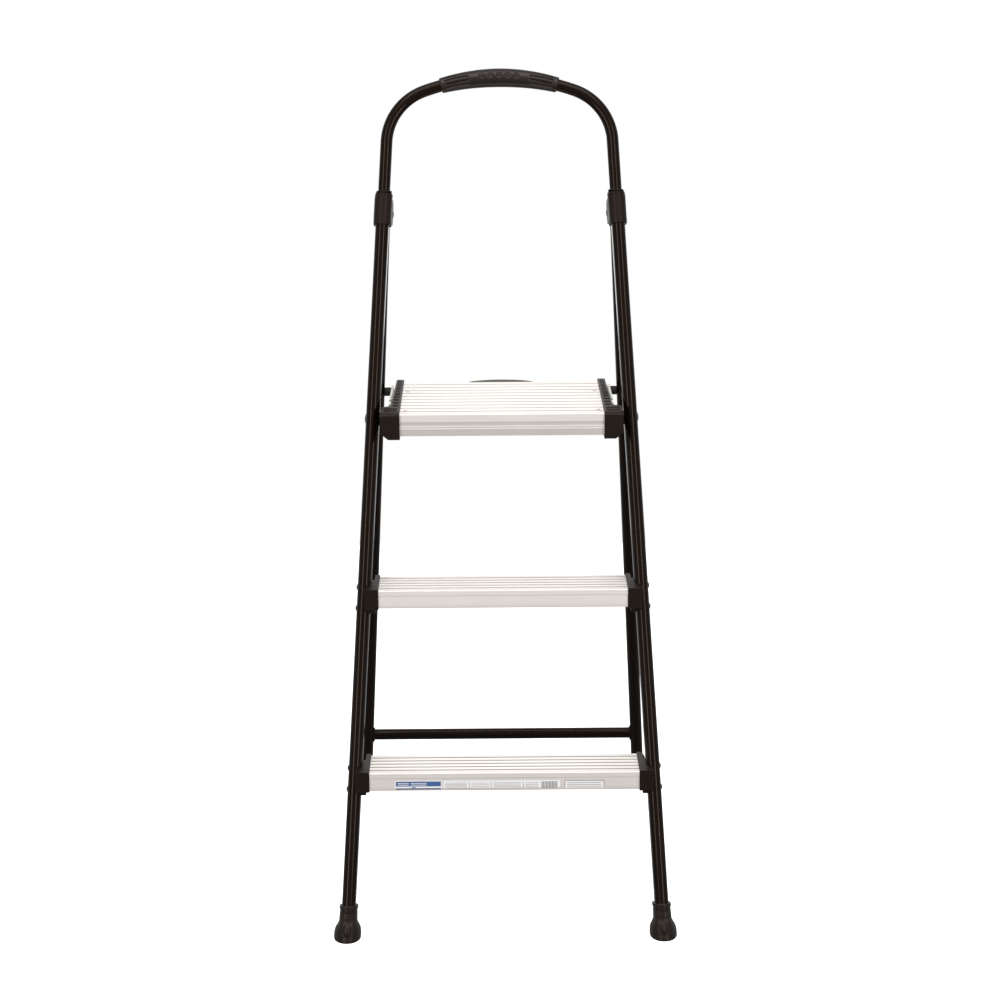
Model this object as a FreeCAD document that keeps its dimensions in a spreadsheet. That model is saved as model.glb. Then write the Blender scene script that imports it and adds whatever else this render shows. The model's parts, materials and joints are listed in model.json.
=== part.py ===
import FreeCAD, Part
import math
import os

import Sketcher
from FreeCAD import Placement, Rotation, Vector

# Folding three-step stool with a handrail loop, standing open.
# Origin: floor level, midway between front and rear feet. +Z up, -Y is the climbing side.
# "left" is -X and "right" is +X.

os.makedirs("parts", exist_ok=True)
doc = FreeCAD.newDocument("step_stool")
sheet = doc.addObject("Spreadsheet::Sheet", "sizes")

driving_sizes = {
    # stance of the open stool
    "lean_angle": 14.5,
    "foot_spread": 640,
    "foot_half_width": 206.2,
    "hinge_half_width": 154.4,
    "hinge_height": 912,
    "hinge_setback": 42,
    # tubes
    "rail_width": 17.5,
    "rail_depth": 36,
    "leg_depth": 28,
    "tube_wall": 1.2,
    "tube_start": 8,
    "rail_length": 937,
    "leg_overrun": 12,
    "brace_height": 89,
    "brace_diameter": 16,
    # handrail loop, measured along the slope of the front frame
    "handrail_diameter": 15.9,
    "handrail_start": 949,
    "bend_radius": 75,
    "crown_radius": 295,
    "crown_height": 1126.1,
    "grip_radius": 12.3,
    "grip_bore": 8.05,
    "grip_sweep": 30.4,
    "grip_screw_sweep": 12.5,
    "grip_screw_length": 14.5,
    # hinge connectors
    "connector_start": 933,
    "connector_length": 36,
    "connector_width": 23,
    "connector_depth": 42,
    "collar_width": 22,
    "collar_depth": 26,
    "collar_length": 6,
    "lug_half_width": 12,
    "lug_radius": 15,
    "slot_half_width": 9.6,
    "slot_front": 21.5,
    "arm_root": 10,
    "handrail_rivet_height": 972,
    "sleeve_rivet_height": 939,
    # steps
    "first_step_height": 218,
    "step_rise": 228.6,
    "step_overhang": 40.3,
    "step_depth": 78,
    "step_thickness": 24,
    "bottom_step_width": 350,
    "middle_step_width": 324,
    "tread_wall": 2,
    "tread_lip": 10,
    "groove_width": 2.6,
    "groove_depth": 0.8,
    "step_groove_pitch": 13.2,
    "bracket_width": 18.8,
    "bracket_rim": 1.5,
    "bracket_drop": 35,
    "bracket_foot_width": 5,
    "bracket_foot_front": 24,
    "bracket_foot_rear": 6,
    "bracket_foot_slope": 6,
    "tongue_length": 24,
    "leg_clearance": 3.2,
    "leg_sweep_front": 12,
    "upper_rivet_drop": 5,
    "lower_rivet_drop": 31.5,
    # platform
    "platform_overhang": 78,
    "platform_depth": 230,
    "platform_thickness": 29,
    "platform_width": 264,
    "platform_groove_pitch": 23,
    "cap_front_width": 24,
    "cap_middle_width": 12.5,
    "cap_rear_width": 10,
    "cap_block": 48,
    "cap_step": 110,
    "cap_boss_radius": 12,
    "cap_front_rim": 3,
    "cap_rear_rim": 12,
    "cap_crown": 2,
    "cap_drop": 34,
    "cap_rear_drop": 23,
    "cap_chamfer": 8,
    "cap_edge": 4,
    "cap_corner": 9,
    "cap_under_slope": 30,
    "pivot_drop": 20,
    "pivot_seat": 8,
    "handle_chord": 88,
    "handle_rise": 21,
    "handle_thickness": 5,
    "handle_drop": 0.2,
    "handle_plate": 3,
    "handle_plate_width": 80,
    "handle_plate_drop": 14,
    "handle_screw_spacing": 56,
    # spreader links
    "link_reach": 100,
    "link_rise": -2,
    "link_leg_distance": 279,
    "link_inner": 148,
    "link_thickness": 2.5,
    "link_width": 18,
    # rivets, screws and washers
    "step_rivet_shank": 2.4,
    "step_rivet_head": 4.6,
    "step_rivet_crown": 2.2,
    "step_rivet_bite": 4.4,
    "hinge_rivet_shank": 3.2,
    "hinge_rivet_head": 6,
    "hinge_rivet_crown": 1.5,
    "pivot_rivet_shank": 4,
    "pivot_rivet_head": 7,
    "pivot_rivet_crown": 1.8,
    "link_rivet_shank": 3,
    "link_rivet_head": 5.5,
    "link_rivet_crown": 1.2,
    "screw_shank": 1.6,
    "screw_head": 3.2,
    "screw_crown": 0.8,
    "screw_length": 12,
    "screw_sink": 0.2,
    "platform_screw_inset": 7,
    "platform_screw_front": 24,
    "platform_screw_rear": 160,
    "running_clearance": 0.05,
    "face_gap": 0.3,
    "washer_radius": 9,
    "spacer_radius": 6,
    # rubber feet
    "boot_height": 41,
    "boot_waist": 24,
    "boot_rim": 7,
    "boot_draft": 0.5,
    "sole_half_depth": 25,
    "sole_half_width": 17.7,
    "sleeve_half_width": 11.5,
    "front_sleeve_half_depth": 21,
    "rear_sleeve_half_depth": 17.5,
}
for row, (alias, value) in enumerate(driving_sizes.items(), 1):
    sheet.set("A%d" % row, alias)
    sheet.set("B%d" % row, str(value))
    sheet.setAlias("B%d" % row, alias)
doc.recompute()


def size(alias):
    return float(sheet.get(alias))


hands = {"left": -1, "right": 1}
x_axis = Vector(1, 0, 0)
y_axis = Vector(0, 1, 0)
z_axis = Vector(0, 0, 1)

lean = math.radians(size("lean_angle"))
front_foot_y = -size("foot_spread") / 2
rear_foot_y = size("foot_spread") / 2
splay = (size("foot_half_width") - size("hinge_half_width")) / size("hinge_height")
rail_splay = math.atan(splay * math.cos(lean))
hinge_y = front_foot_y + size("hinge_height") * math.tan(lean) + size("hinge_setback")
leg_angle = math.atan((rear_foot_y - hinge_y) / size("hinge_height"))
leg_splay = math.atan(splay * math.cos(leg_angle))
leg_to_hinge = size("hinge_height") / math.cos(leg_angle) / math.cos(leg_splay)
parts = {}


# ---- frames of reference and points on the tubes


def half_width(height):
    return size("foot_half_width") - splay * height


def rail_y(height):
    return front_foot_y + height * math.tan(lean)


def rail_point(hand, height):
    return Vector(hand * half_width(height), rail_y(height), height)


def leg_point(hand, height):
    return Vector(hand * half_width(height), rear_foot_y - height * math.tan(leg_angle), height)


def rail_frame(hand):
    """Local Z runs up the rail's axis, local X square to its flanks, local Y backwards."""
    turn = Rotation(x_axis, -math.degrees(lean)) * Rotation(y_axis, -hand * math.degrees(rail_splay))
    return Placement(rail_point(hand, 0), turn)


def leg_frame(hand):
    turn = Rotation(x_axis, math.degrees(leg_angle)) * Rotation(y_axis, -hand * math.degrees(leg_splay))
    return Placement(leg_point(hand, 0), turn)


def slope_frame(distance=0):
    """The middle plane of the front frame, at a distance up the slope."""
    slope = Placement(Vector(0, front_foot_y, 0), Rotation(x_axis, -math.degrees(lean)))
    return slope * Placement(Vector(0, 0, distance), Rotation())


def facing(start, direction):
    return Placement(start, Rotation(z_axis, direction))


# ---- general builders


def add(kind, name, placement=None, **bindings):
    item = doc.addObject(kind, name)
    for prop, expression in bindings.items():
        item.setExpression(prop, expression)
    if placement is not None:
        item.Placement = placement
    return item


def group(name, items):
    result = add("Part::Compound", name)
    result.Links = items
    return result


def fuse(name, items):
    result = add("Part::MultiFuse", name)
    result.Shapes = items
    return result


def cut(name, base, tools):
    result = add("Part::Cut", name)
    result.Base = base
    result.Tool = tools[0] if len(tools) == 1 else fuse(name + "_tools", tools)
    return result


def keep(name, item):
    item.Label = name
    parts[name] = item
    return item


def box(name, placement, length, width, height):
    item = add("Part::Box", name, placement)
    item.Length = length
    item.Width = width
    item.Height = height
    return item


def new_body(name, placement=None):
    return add("PartDesign::Body", name, placement)


def new_sketch(body, name, plane, offset=None):
    sketch = body.newObject("Sketcher::SketchObject", name)
    origin_plane = [item for item in body.Origin.OriginFeatures if item.Role == plane][0]
    sketch.AttachmentSupport = [(origin_plane, "")]
    sketch.MapMode = "FlatFace"
    if offset is not None:
        sketch.AttachmentOffset = offset
    return sketch


def bound(sketch, constraint, expression):
    index = sketch.addConstraint(constraint)
    sketch.setExpression("Constraints[%d]" % index, expression)
    return index


def draw_polygon(sketch, corners):
    """Closed outline whose corners are pairs of expressions in the sheet's sizes."""
    points = [Vector(sketch.evalExpression(u), sketch.evalExpression(v), 0) for u, v in corners]
    count = len(points)
    for index in range(count):
        sketch.addGeometry(Part.LineSegment(points[index], points[(index + 1) % count]), False)
    for index in range(count):
        sketch.addConstraint(Sketcher.Constraint("Coincident", index, 2, (index + 1) % count, 1))
    for index, (u, v) in enumerate(corners):
        for kind, axis, expression, value in (
            ("DistanceX", -2, u, points[index].x),
            ("DistanceY", -1, v, points[index].y),
        ):
            if abs(value) < 1e-9:
                sketch.addConstraint(Sketcher.Constraint("PointOnObject", index, 1, axis))
            else:
                bound(sketch, Sketcher.Constraint(kind, -1, 1, index, 1, value), expression)


def draw_obround(sketch, width, depth):
    """Round-ended slot outline, centred, with its straight flanks along the sketch's vertical."""
    radius = sketch.evalExpression(width) / 2
    middle = sketch.evalExpression(depth) / 2 - radius
    first = sketch.GeometryCount
    top, bottom, left, right = first, first + 1, first + 2, first + 3
    centre = Vector(0, middle, 0)
    sketch.addGeometry(Part.ArcOfCircle(Part.Circle(centre, z_axis, radius), 0, math.pi), False)
    sketch.addGeometry(Part.ArcOfCircle(Part.Circle(-centre, z_axis, radius), math.pi, 2 * math.pi), False)
    sketch.addGeometry(Part.LineSegment(Vector(-radius, middle, 0), Vector(-radius, -middle, 0)), False)
    sketch.addGeometry(Part.LineSegment(Vector(radius, -middle, 0), Vector(radius, middle, 0)), False)
    corners = ((top, 2, left, 1), (left, 2, bottom, 1), (bottom, 2, right, 1), (right, 2, top, 1))
    for one, end, other, start in corners:
        sketch.addConstraint(Sketcher.Constraint("Tangent", one, end, other, start))
    sketch.addConstraint(Sketcher.Constraint("PointOnObject", top, 3, -2))
    sketch.addConstraint(Sketcher.Constraint("Symmetric", top, 3, bottom, 3, -1, 1))
    sketch.addConstraint(Sketcher.Constraint("Equal", top, bottom))
    bound(sketch, Sketcher.Constraint("Radius", top, radius), "(%s) / 2" % width)
    gap = "(%s) - (%s)" % (depth, width)
    bound(sketch, Sketcher.Constraint("DistanceY", bottom, 3, top, 3, 2 * middle), gap)


def pad(body, sketch, length, midplane=False, backwards=False):
    feature = body.newObject("PartDesign::Pad", sketch.Name + "_pad")
    feature.Profile = sketch
    feature.setExpression("Length", length)
    feature.Midplane = midplane
    feature.Reversed = backwards
    return feature


def oval_prism(name, placement, width, depth, length, wall=None):
    """Oval section carried along local Z: solid, or a tube where a wall is given."""
    body = new_body(name, placement)
    sketch = new_sketch(body, name + "_section", "XY_Plane")
    draw_obround(sketch, width, depth)
    if wall is not None:
        draw_obround(sketch, "%s - 2 * %s" % (width, wall), "%s - 2 * %s" % (depth, wall))
    pad(body, sketch, length)
    return body


def rivet(name, start, end, kind, heads=2):
    """Shank from start to end, with a low domed head outside start and, for two heads, outside end."""
    direction = (end - start).normalize()
    shank = add("Part::Cylinder", name + "_shank", facing(start, direction), Radius="sizes.%s_shank" % kind)
    shank.Height = (end - start).Length
    head = size(kind + "_head")
    crown = size(kind + "_crown")
    ball = (head**2 + crown**2) / (2 * crown)
    pieces = [shank]
    for index, (seat, outward) in enumerate(((start, -direction), (end, direction))[:heads]):
        seating = facing(seat - outward * (ball - crown), outward)
        dome = add("Part::Sphere", "%s_head_%d" % (name, index), seating)
        dome.setExpression(
            "Radius", "(sizes.{0}_head ^ 2 + sizes.{0}_crown ^ 2) / (2 * sizes.{0}_crown)".format(kind)
        )
        dome.Angle1 = math.degrees(math.asin((ball - crown) / ball))
        pieces.append(dome)
    return fuse(name, pieces)


def ring(name, start, end, outer, inner):
    direction = (end - start).normalize()
    outside = add("Part::Cylinder", name + "_outside", facing(start, direction), Radius=outer)
    inside = add("Part::Cylinder", name + "_inside", facing(start - direction, direction), Radius=inner)
    outside.Height = (end - start).Length
    inside.Height = (end - start).Length + 2
    return cut(name, outside, [inside])


# ---- stock shapes that other pieces are cut to fit

rail_stock = {}
leg_stock = {}
for side, hand in hands.items():
    lifted = Placement(Vector(0, 0, size("tube_start")), Rotation())
    rail_stock[side] = oval_prism(
        "rail_stock_" + side, rail_frame(hand) * lifted,
        "sizes.rail_width", "sizes.rail_depth", "sizes.rail_length",
    )
    leg_stock[side] = oval_prism(
        "leg_stock_" + side, leg_frame(hand) * lifted,
        "sizes.rail_width", "sizes.leg_depth", "sizes.rail_length",
    )


# ---- rivets and pins

step_heights = {
    "bottom": size("first_step_height"),
    "middle": size("first_step_height") + size("step_rise"),
}
platform_height = size("first_step_height") + 2 * size("step_rise")
pivot_height = platform_height - size("pivot_drop")
pivot = Vector(0, rail_y(pivot_height), pivot_height)
hinge = Vector(0, hinge_y, size("hinge_height"))
link_front = pivot + Vector(0, size("link_reach"), size("link_rise"))
link_rear = hinge + Vector(0, math.sin(leg_angle), -math.cos(leg_angle)) * size("link_leg_distance")
link_outer = size("link_inner") + size("link_thickness")
gap = size("face_gap")
platform_front = rail_y(platform_height) - size("platform_overhang")
link_cap_face = size("platform_width") / 2 + size("cap_middle_width")


def step_rivets(step, side):
    hand = hands[side]
    flank = rail_frame(hand).Rotation.multVec(x_axis) * hand
    rivets = []
    for level in ("upper", "lower"):
        centre = rail_point(hand, step_heights[step] - size(level + "_rivet_drop"))
        outer = centre + flank * (size("rail_width") / 2)
        inner = centre - flank * (size("rail_width") / 2 + size("step_rivet_bite"))
        rivets.append(rivet("%s_step_rivet_%s_%s" % (step, side, level), outer, inner, "step_rivet", heads=1))
    return rivets


def cross_rivet(name, side, centre, outer_x, inner_x, kind, heads=2):
    """Rivet along X, between two distances from the middle plane, its first head outside."""
    hand = hands[side]
    start = Vector(hand * outer_x, centre.y, centre.z)
    end = Vector(hand * inner_x, centre.y, centre.z)
    return keep(name, rivet(name + "_solid", start, end, kind, heads))


step_rivet_set = {(step, side): step_rivets(step, side) for step in step_heights for side in hands}
for step in step_heights:
    both_sides = step_rivet_set[step, "left"] + step_rivet_set[step, "right"]
    keep(step + "_step_rivets", group(step + "_step_rivets", both_sides))

hinge_rivets = {}
pivot_rivets = {}
link_rear_rivets = {}
for side in hands:
    hinge_middle = size("hinge_half_width")
    hinge_rivets[side] = cross_rivet(
        "hinge_rivet_" + side, side, hinge,
        hinge_middle + size("lug_half_width"), hinge_middle - size("lug_half_width"), "hinge_rivet",
    )
    pivot_rivets[side] = cross_rivet(
        "platform_pivot_rivet_" + side, side, pivot,
        half_width(pivot_height) + size("rail_width") / 2 + gap,
        size("platform_width") / 2 + size("pivot_seat"),
        "pivot_rivet",
    )
    # the front rivet stops just short of the end cap, so this pivot of the four-bar loop stays open
    cross_rivet(
        "link_front_rivet_" + side, side, link_front, link_outer, link_cap_face + gap, "link_rivet", heads=1
    )
    link_rear_rivets[side] = cross_rivet(
        "link_rear_rivet_" + side, side, link_rear,
        half_width(link_rear.z) + size("rail_width") / 2 + 2 * gap, size("link_inner") - gap, "link_rivet",
    )


def oblique_seat(name, side, centre, x_from, x_to, radius):
    hand = hands[side]
    direction = x_axis * hand
    start = Vector(hand * x_from, centre.y, centre.z)
    tool = add("Part::Cylinder", name, facing(start, direction), Radius=radius)
    tool.Height = x_to - x_from
    return tool


# ---- front frame: rails, feet and handrail loop


def boot(name, side, point_at, frame_at, sleeve_half_depth, stock):
    """Rubber boot: a flat flared sole under a sleeve square to the leaning tube."""
    hand = hands[side]
    sections = []
    rings = (
        ("0", "sizes.sole_half_depth", "sizes.sole_half_width"),
        (
            "boot_rim", "sizes.sole_half_depth - sizes.boot_draft",
            "sizes.sole_half_width - sizes.boot_draft",
        ),
        (
            "boot_waist", sleeve_half_depth + " + sizes.boot_draft",
            "sizes.sleeve_half_width + sizes.boot_draft",
        ),
        ("boot_height", sleeve_half_depth, "sizes.sleeve_half_width"),
    )
    for index, (level, half_depth, width) in enumerate(rings):
        height = 0 if level == "0" else size(level)
        tilt = frame_at(hand).Rotation if level in ("boot_waist", "boot_height") else Rotation()
        sections.append(
            add(
                "Part::Ellipse", "%s_ring_%d" % (name, index),
                Placement(point_at(hand, height), tilt * Rotation(z_axis, 90)),
                MajorRadius=half_depth, MinorRadius=width,
            )
        )
    skin = add("Part::Loft", name + "_skin")
    skin.Sections = sections
    skin.Solid = True
    skin.Ruled = True
    keep(name, cut(name, skin, [stock]))


connector_rivets = []
connector_rivet_set = {}
for side, hand in hands.items():
    frame = rail_frame(hand)
    rivets = []
    for level, height, width in (
        ("upper", size("handrail_rivet_height"), size("collar_width")),
        ("lower", size("sleeve_rivet_height"), size("connector_width")),
    ):
        reach = x_axis * hand * width / 2
        start = frame.multVec(Vector(0, 0, height) + reach)
        end = frame.multVec(Vector(0, 0, height) - reach)
        rivets.append(rivet("connector_rivet_%s_%s" % (level, side), start, end, "screw"))
    connector_rivet_set[side] = rivets
    connector_rivets += rivets
keep("connector_rivets", group("connector_rivets", connector_rivets))

for side, hand in hands.items():
    lifted = Placement(Vector(0, 0, size("tube_start")), Rotation())
    tube = oval_prism(
        "rail_tube_" + side, rail_frame(hand) * lifted,
        "sizes.rail_width", "sizes.rail_depth", "sizes.rail_length", "sizes.tube_wall",
    )
    through = step_rivet_set["bottom", side] + step_rivet_set["middle", side]
    through += [pivot_rivets[side], connector_rivet_set[side][1]]
    keep("front_rail_" + side, cut("front_rail_" + side, tube, through))
    boot(
        "front_foot_" + side, side, rail_point, rail_frame,
        "sizes.front_sleeve_half_depth", rail_stock[side],
    )
    boot("rear_foot_" + side, side, leg_point, leg_frame, "sizes.rear_sleeve_half_depth", leg_stock[side])

crown_centre = size("crown_height") - size("crown_radius")


def bend_centre():
    """Centre of the right-hand bend: it touches the straight side and the crown arc from inside."""
    slope = math.tan(rail_splay)
    reach = size("foot_half_width") - size("bend_radius") / math.cos(rail_splay)
    inner = size("crown_radius") - size("bend_radius")
    a = 1 + slope**2
    b = -2 * (reach * slope + crown_centre)
    c = reach**2 + crown_centre**2 - inner**2
    height = (-b + math.sqrt(b**2 - 4 * a * c)) / (2 * a)
    return Vector(reach - slope * height, height, 0)


def handrail_body(name, radius, wall=None):
    body = new_body(name, slope_frame())
    spine = new_sketch(body, name + "_line", "XZ_Plane")
    bend = bend_centre()
    crown = Vector(0, crown_centre, 0)
    start_z = size("handrail_start")
    start = Vector(size("foot_half_width") - math.tan(rail_splay) * start_z, start_z, 0)
    side_turn = rail_splay
    crown_turn = math.atan2(bend.y - crown_centre, bend.x)
    bend_radius = size("bend_radius")
    side_end = bend + Vector(math.cos(side_turn), math.sin(side_turn), 0) * bend_radius
    other_start = Vector(-start.x, start.y, 0)
    other_end = Vector(-side_end.x, side_end.y, 0)
    other_bend = Part.Circle(Vector(-bend.x, bend.y, 0), z_axis, bend_radius)
    crown_circle = Part.Circle(crown, z_axis, size("crown_radius"))
    spine.addGeometry(Part.LineSegment(start, side_end), False)
    spine.addGeometry(Part.ArcOfCircle(Part.Circle(bend, z_axis, bend_radius), side_turn, crown_turn), False)
    spine.addGeometry(Part.ArcOfCircle(crown_circle, crown_turn, math.pi - crown_turn), False)
    spine.addGeometry(Part.ArcOfCircle(other_bend, math.pi - crown_turn, math.pi - side_turn), False)
    spine.addGeometry(Part.LineSegment(other_end, other_start), False)
    for index in range(4):
        spine.addConstraint(Sketcher.Constraint("Tangent", index, 2, index + 1, 1))
    bound(spine, Sketcher.Constraint("Radius", 1, bend_radius), "sizes.bend_radius")
    bound(spine, Sketcher.Constraint("Radius", 3, bend_radius), "sizes.bend_radius")
    bound(spine, Sketcher.Constraint("Radius", 2, size("crown_radius")), "sizes.crown_radius")
    spine.addConstraint(Sketcher.Constraint("PointOnObject", 2, 3, -2))
    tilt = Placement(Vector(start.x, 0, start.y), Rotation(y_axis, -math.degrees(rail_splay)))
    section = new_sketch(body, name + "_section", "XY_Plane", tilt)
    for expression in (radius, wall and "%s - %s" % (radius, wall)):
        if expression:
            value = section.evalExpression(expression)
            index = section.addGeometry(Part.Circle(Vector(0, 0, 0), z_axis, value), False)
            section.addConstraint(Sketcher.Constraint("Coincident", index, 3, -1, 1))
            bound(section, Sketcher.Constraint("Radius", index, value), expression)
    pipe = body.newObject("PartDesign::AdditivePipe", name + "_pipe")
    pipe.Profile = section
    pipe.Spine = (spine, ["Edge%d" % number for number in range(1, 6)])
    return body


grip_screws = []
crown_frame = slope_frame(crown_centre)
for name, sign in (("left", -1), ("right", 1)):
    turn = Placement(Vector(0, 0, 0), Rotation(y_axis, sign * size("grip_screw_sweep")))
    seat_offset = Vector(0, size("grip_radius") - size("screw_crown"), size("crown_radius"))
    seat = (crown_frame * turn).multVec(seat_offset)
    tip = seat - (crown_frame * turn).Rotation.multVec(y_axis) * size("grip_screw_length")
    grip_screws.append(rivet("grip_screw_" + name, seat, tip, "screw", heads=1))
keep("grip_screws", group("grip_screws", grip_screws))

handrail_tube = handrail_body("handrail_tube", "sizes.handrail_diameter / 2", "sizes.tube_wall")
handrail_stock = handrail_body("handrail_stock", "sizes.handrail_diameter / 2")
upper_rivets = [connector_rivet_set[side][0] for side in hands]
keep("handrail", cut("handrail", handrail_tube, upper_rivets + grip_screws))


def grip_shell(name, front):
    """Half of the hand grip: a half ring swept round the crown's centre."""
    body = new_body(name + "_shell", slope_frame(crown_centre))
    sketch = new_sketch(body, name + "_section", "YZ_Plane")
    middle = Vector(0, size("crown_radius"), 0)
    quarter = math.pi / 2
    start, end = (quarter, 3 * quarter) if front else (-quarter, quarter)
    outer, inner = size("grip_radius"), size("grip_bore")
    for radius in (outer, inner):
        sketch.addGeometry(Part.ArcOfCircle(Part.Circle(middle, z_axis, radius), start, end), False)
    for height in (1, -1):
        one = middle + Vector(0, height * outer, 0)
        other = middle + Vector(0, height * inner, 0)
        sketch.addGeometry(Part.LineSegment(one, other), False)
    for arc, alias in ((0, "grip_radius"), (1, "grip_bore")):
        bound(sketch, Sketcher.Constraint("Radius", arc, size(alias)), "sizes." + alias)
        sketch.addConstraint(Sketcher.Constraint("PointOnObject", arc, 3, -2))
    upper_end, lower_end = (1, 2) if front else (2, 1)
    for line, end_number in ((2, upper_end), (3, lower_end)):
        sketch.addConstraint(Sketcher.Constraint("Coincident", line, 1, 0, end_number))
        sketch.addConstraint(Sketcher.Constraint("Coincident", line, 2, 1, end_number))
        sketch.addConstraint(Sketcher.Constraint("PointOnObject", line, 1, -2))
        sketch.addConstraint(Sketcher.Constraint("PointOnObject", line, 2, -2))
    bound(sketch, Sketcher.Constraint("DistanceY", -1, 1, 0, 3, middle.y), "sizes.crown_radius")
    sweep = body.newObject("PartDesign::Revolution", name + "_sweep")
    sweep.Profile = sketch
    sweep.ReferenceAxis = (sketch, ["H_Axis"])
    sweep.Midplane = True
    sweep.setExpression("Angle", "sizes.grip_sweep")
    return body


keep("grip_front_shell", grip_shell("grip_front", True))
keep("grip_rear_shell", cut("grip_rear_shell", grip_shell("grip_rear", False), grip_screws))


# ---- hinge connectors: sleeve over rail and handrail, with two lugs for the rear leg

for side, hand in hands.items():
    name = "hinge_connector_" + side
    frame = rail_frame(hand)
    sleeve = oval_prism(
        name + "_sleeve", frame * Placement(Vector(0, 0, size("connector_start")), Rotation()),
        "sizes.connector_width", "sizes.connector_depth", "sizes.connector_length",
    )
    collar_start = size("connector_start") + size("connector_length")
    collar = oval_prism(
        name + "_collar", frame * Placement(Vector(0, 0, collar_start), Rotation()),
        "sizes.collar_width", "sizes.collar_depth", "sizes.collar_length",
    )
    eye = frame.inverse().multVec(hinge + x_axis * hand * size("hinge_half_width"))
    radius = size("lug_radius")
    lug_width = 2 * size("lug_half_width")
    arm = box(
        name + "_arm",
        frame * Placement(Vector(eye.x - lug_width / 2, size("arm_root"), eye.z - radius), Rotation()),
        lug_width, eye.y - size("arm_root"), 2 * radius,
    )
    nose = add(
        "Part::Cylinder", name + "_nose",
        frame * facing(eye - x_axis * (lug_width / 2), x_axis), Radius="sizes.lug_radius",
    )
    nose.setExpression("Height", "2 * sizes.lug_half_width")
    slot = box(
        name + "_slot",
        frame * Placement(
            Vector(eye.x - size("slot_half_width"), size("slot_front"), eye.z - 3 * radius), Rotation()
        ),
        2 * size("slot_half_width"), 4 * radius, 6 * radius,
    )
    solid = fuse(name + "_blank", [sleeve, collar, arm, nose])
    tools = [rail_stock[side], handrail_stock, slot, hinge_rivets[side]] + connector_rivet_set[side]
    keep(name, cut(name, solid, tools))


# ---- steps: ribbed extrusions on moulded end brackets


def tread(name, width, depth, thickness, grooves, pitch):
    """Channel-section plank with lips under its edges and shallow grooves along its top."""
    body = new_body(name)
    section = new_sketch(body, name + "_section", "YZ_Plane")
    wall, lip = "sizes.tread_wall", "sizes.tread_lip"
    low = "%s - %s" % (wall, thickness)
    corners = [
        ("0", "0"), (depth, "0"), (depth, "-" + thickness), ("%s - %s" % (depth, lip), "-" + thickness),
        ("%s - %s" % (depth, lip), low), ("%s - %s" % (depth, wall), low),
        ("%s - %s" % (depth, wall), "-" + wall), (wall, "-" + wall),
        (wall, low), (lip, low), (lip, "-" + thickness), ("0", "-" + thickness),
    ]
    draw_polygon(section, corners)
    pad(body, section, width, midplane=True)
    plain = body.Tip
    groove = new_sketch(body, name + "_groove", "YZ_Plane")
    start = "(%s - %d * (%s) - sizes.groove_width) / 2" % (depth, grooves - 1, pitch)
    end = "%s + sizes.groove_width" % start
    draw_polygon(
        groove,
        [(start, "-sizes.groove_depth"), (end, "-sizes.groove_depth"), (end, "2"), (start, "2")],
    )
    first = body.newObject("PartDesign::Pocket", name + "_first_groove")
    first.Profile = groove
    first.Type = "ThroughAll"
    first.Midplane = True
    doc.recompute()
    rest = body.newObject("PartDesign::LinearPattern", name + "_grooves")
    rest.Originals = [first]
    rest.Direction = (groove, ["H_Axis"])
    rest.setExpression("Length", "%d * %s" % (grooves - 1, pitch))
    rest.Occurrences = grooves
    body.Tip = rest
    doc.recompute()
    removed = plain.Shape.Volume - rest.Shape.Volume
    expected = grooves * section.evalExpression("sizes.groove_width * sizes.groove_depth * (%s)" % width)
    if abs(removed - expected) > 0.01 * expected:
        raise ValueError("%s: grooves took %.0f, not %.0f" % (name, removed, expected))
    return body


def bracket_profile(body, name):
    """Side outline of a step bracket, from the tread's front top edge."""
    sketch = new_sketch(body, name, "YZ_Plane")
    rim, depth, low = "sizes.bracket_rim", "sizes.step_depth", "-sizes.step_thickness - sizes.bracket_rim"
    drop = "-sizes.bracket_drop"
    foot_front = "sizes.step_overhang - sizes.bracket_foot_front"
    foot_rear = "sizes.step_overhang + sizes.bracket_foot_rear"
    draw_polygon(
        sketch,
        [
            ("-" + rim, rim), (depth + " + " + rim, rim), (depth + " + " + rim, low),
            (foot_rear + " + sizes.bracket_foot_slope", low), (foot_rear, drop),
            (foot_front, drop), (foot_front + " - sizes.bracket_foot_slope", low), ("-" + rim, low),
        ],
    )
    return sketch


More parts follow.
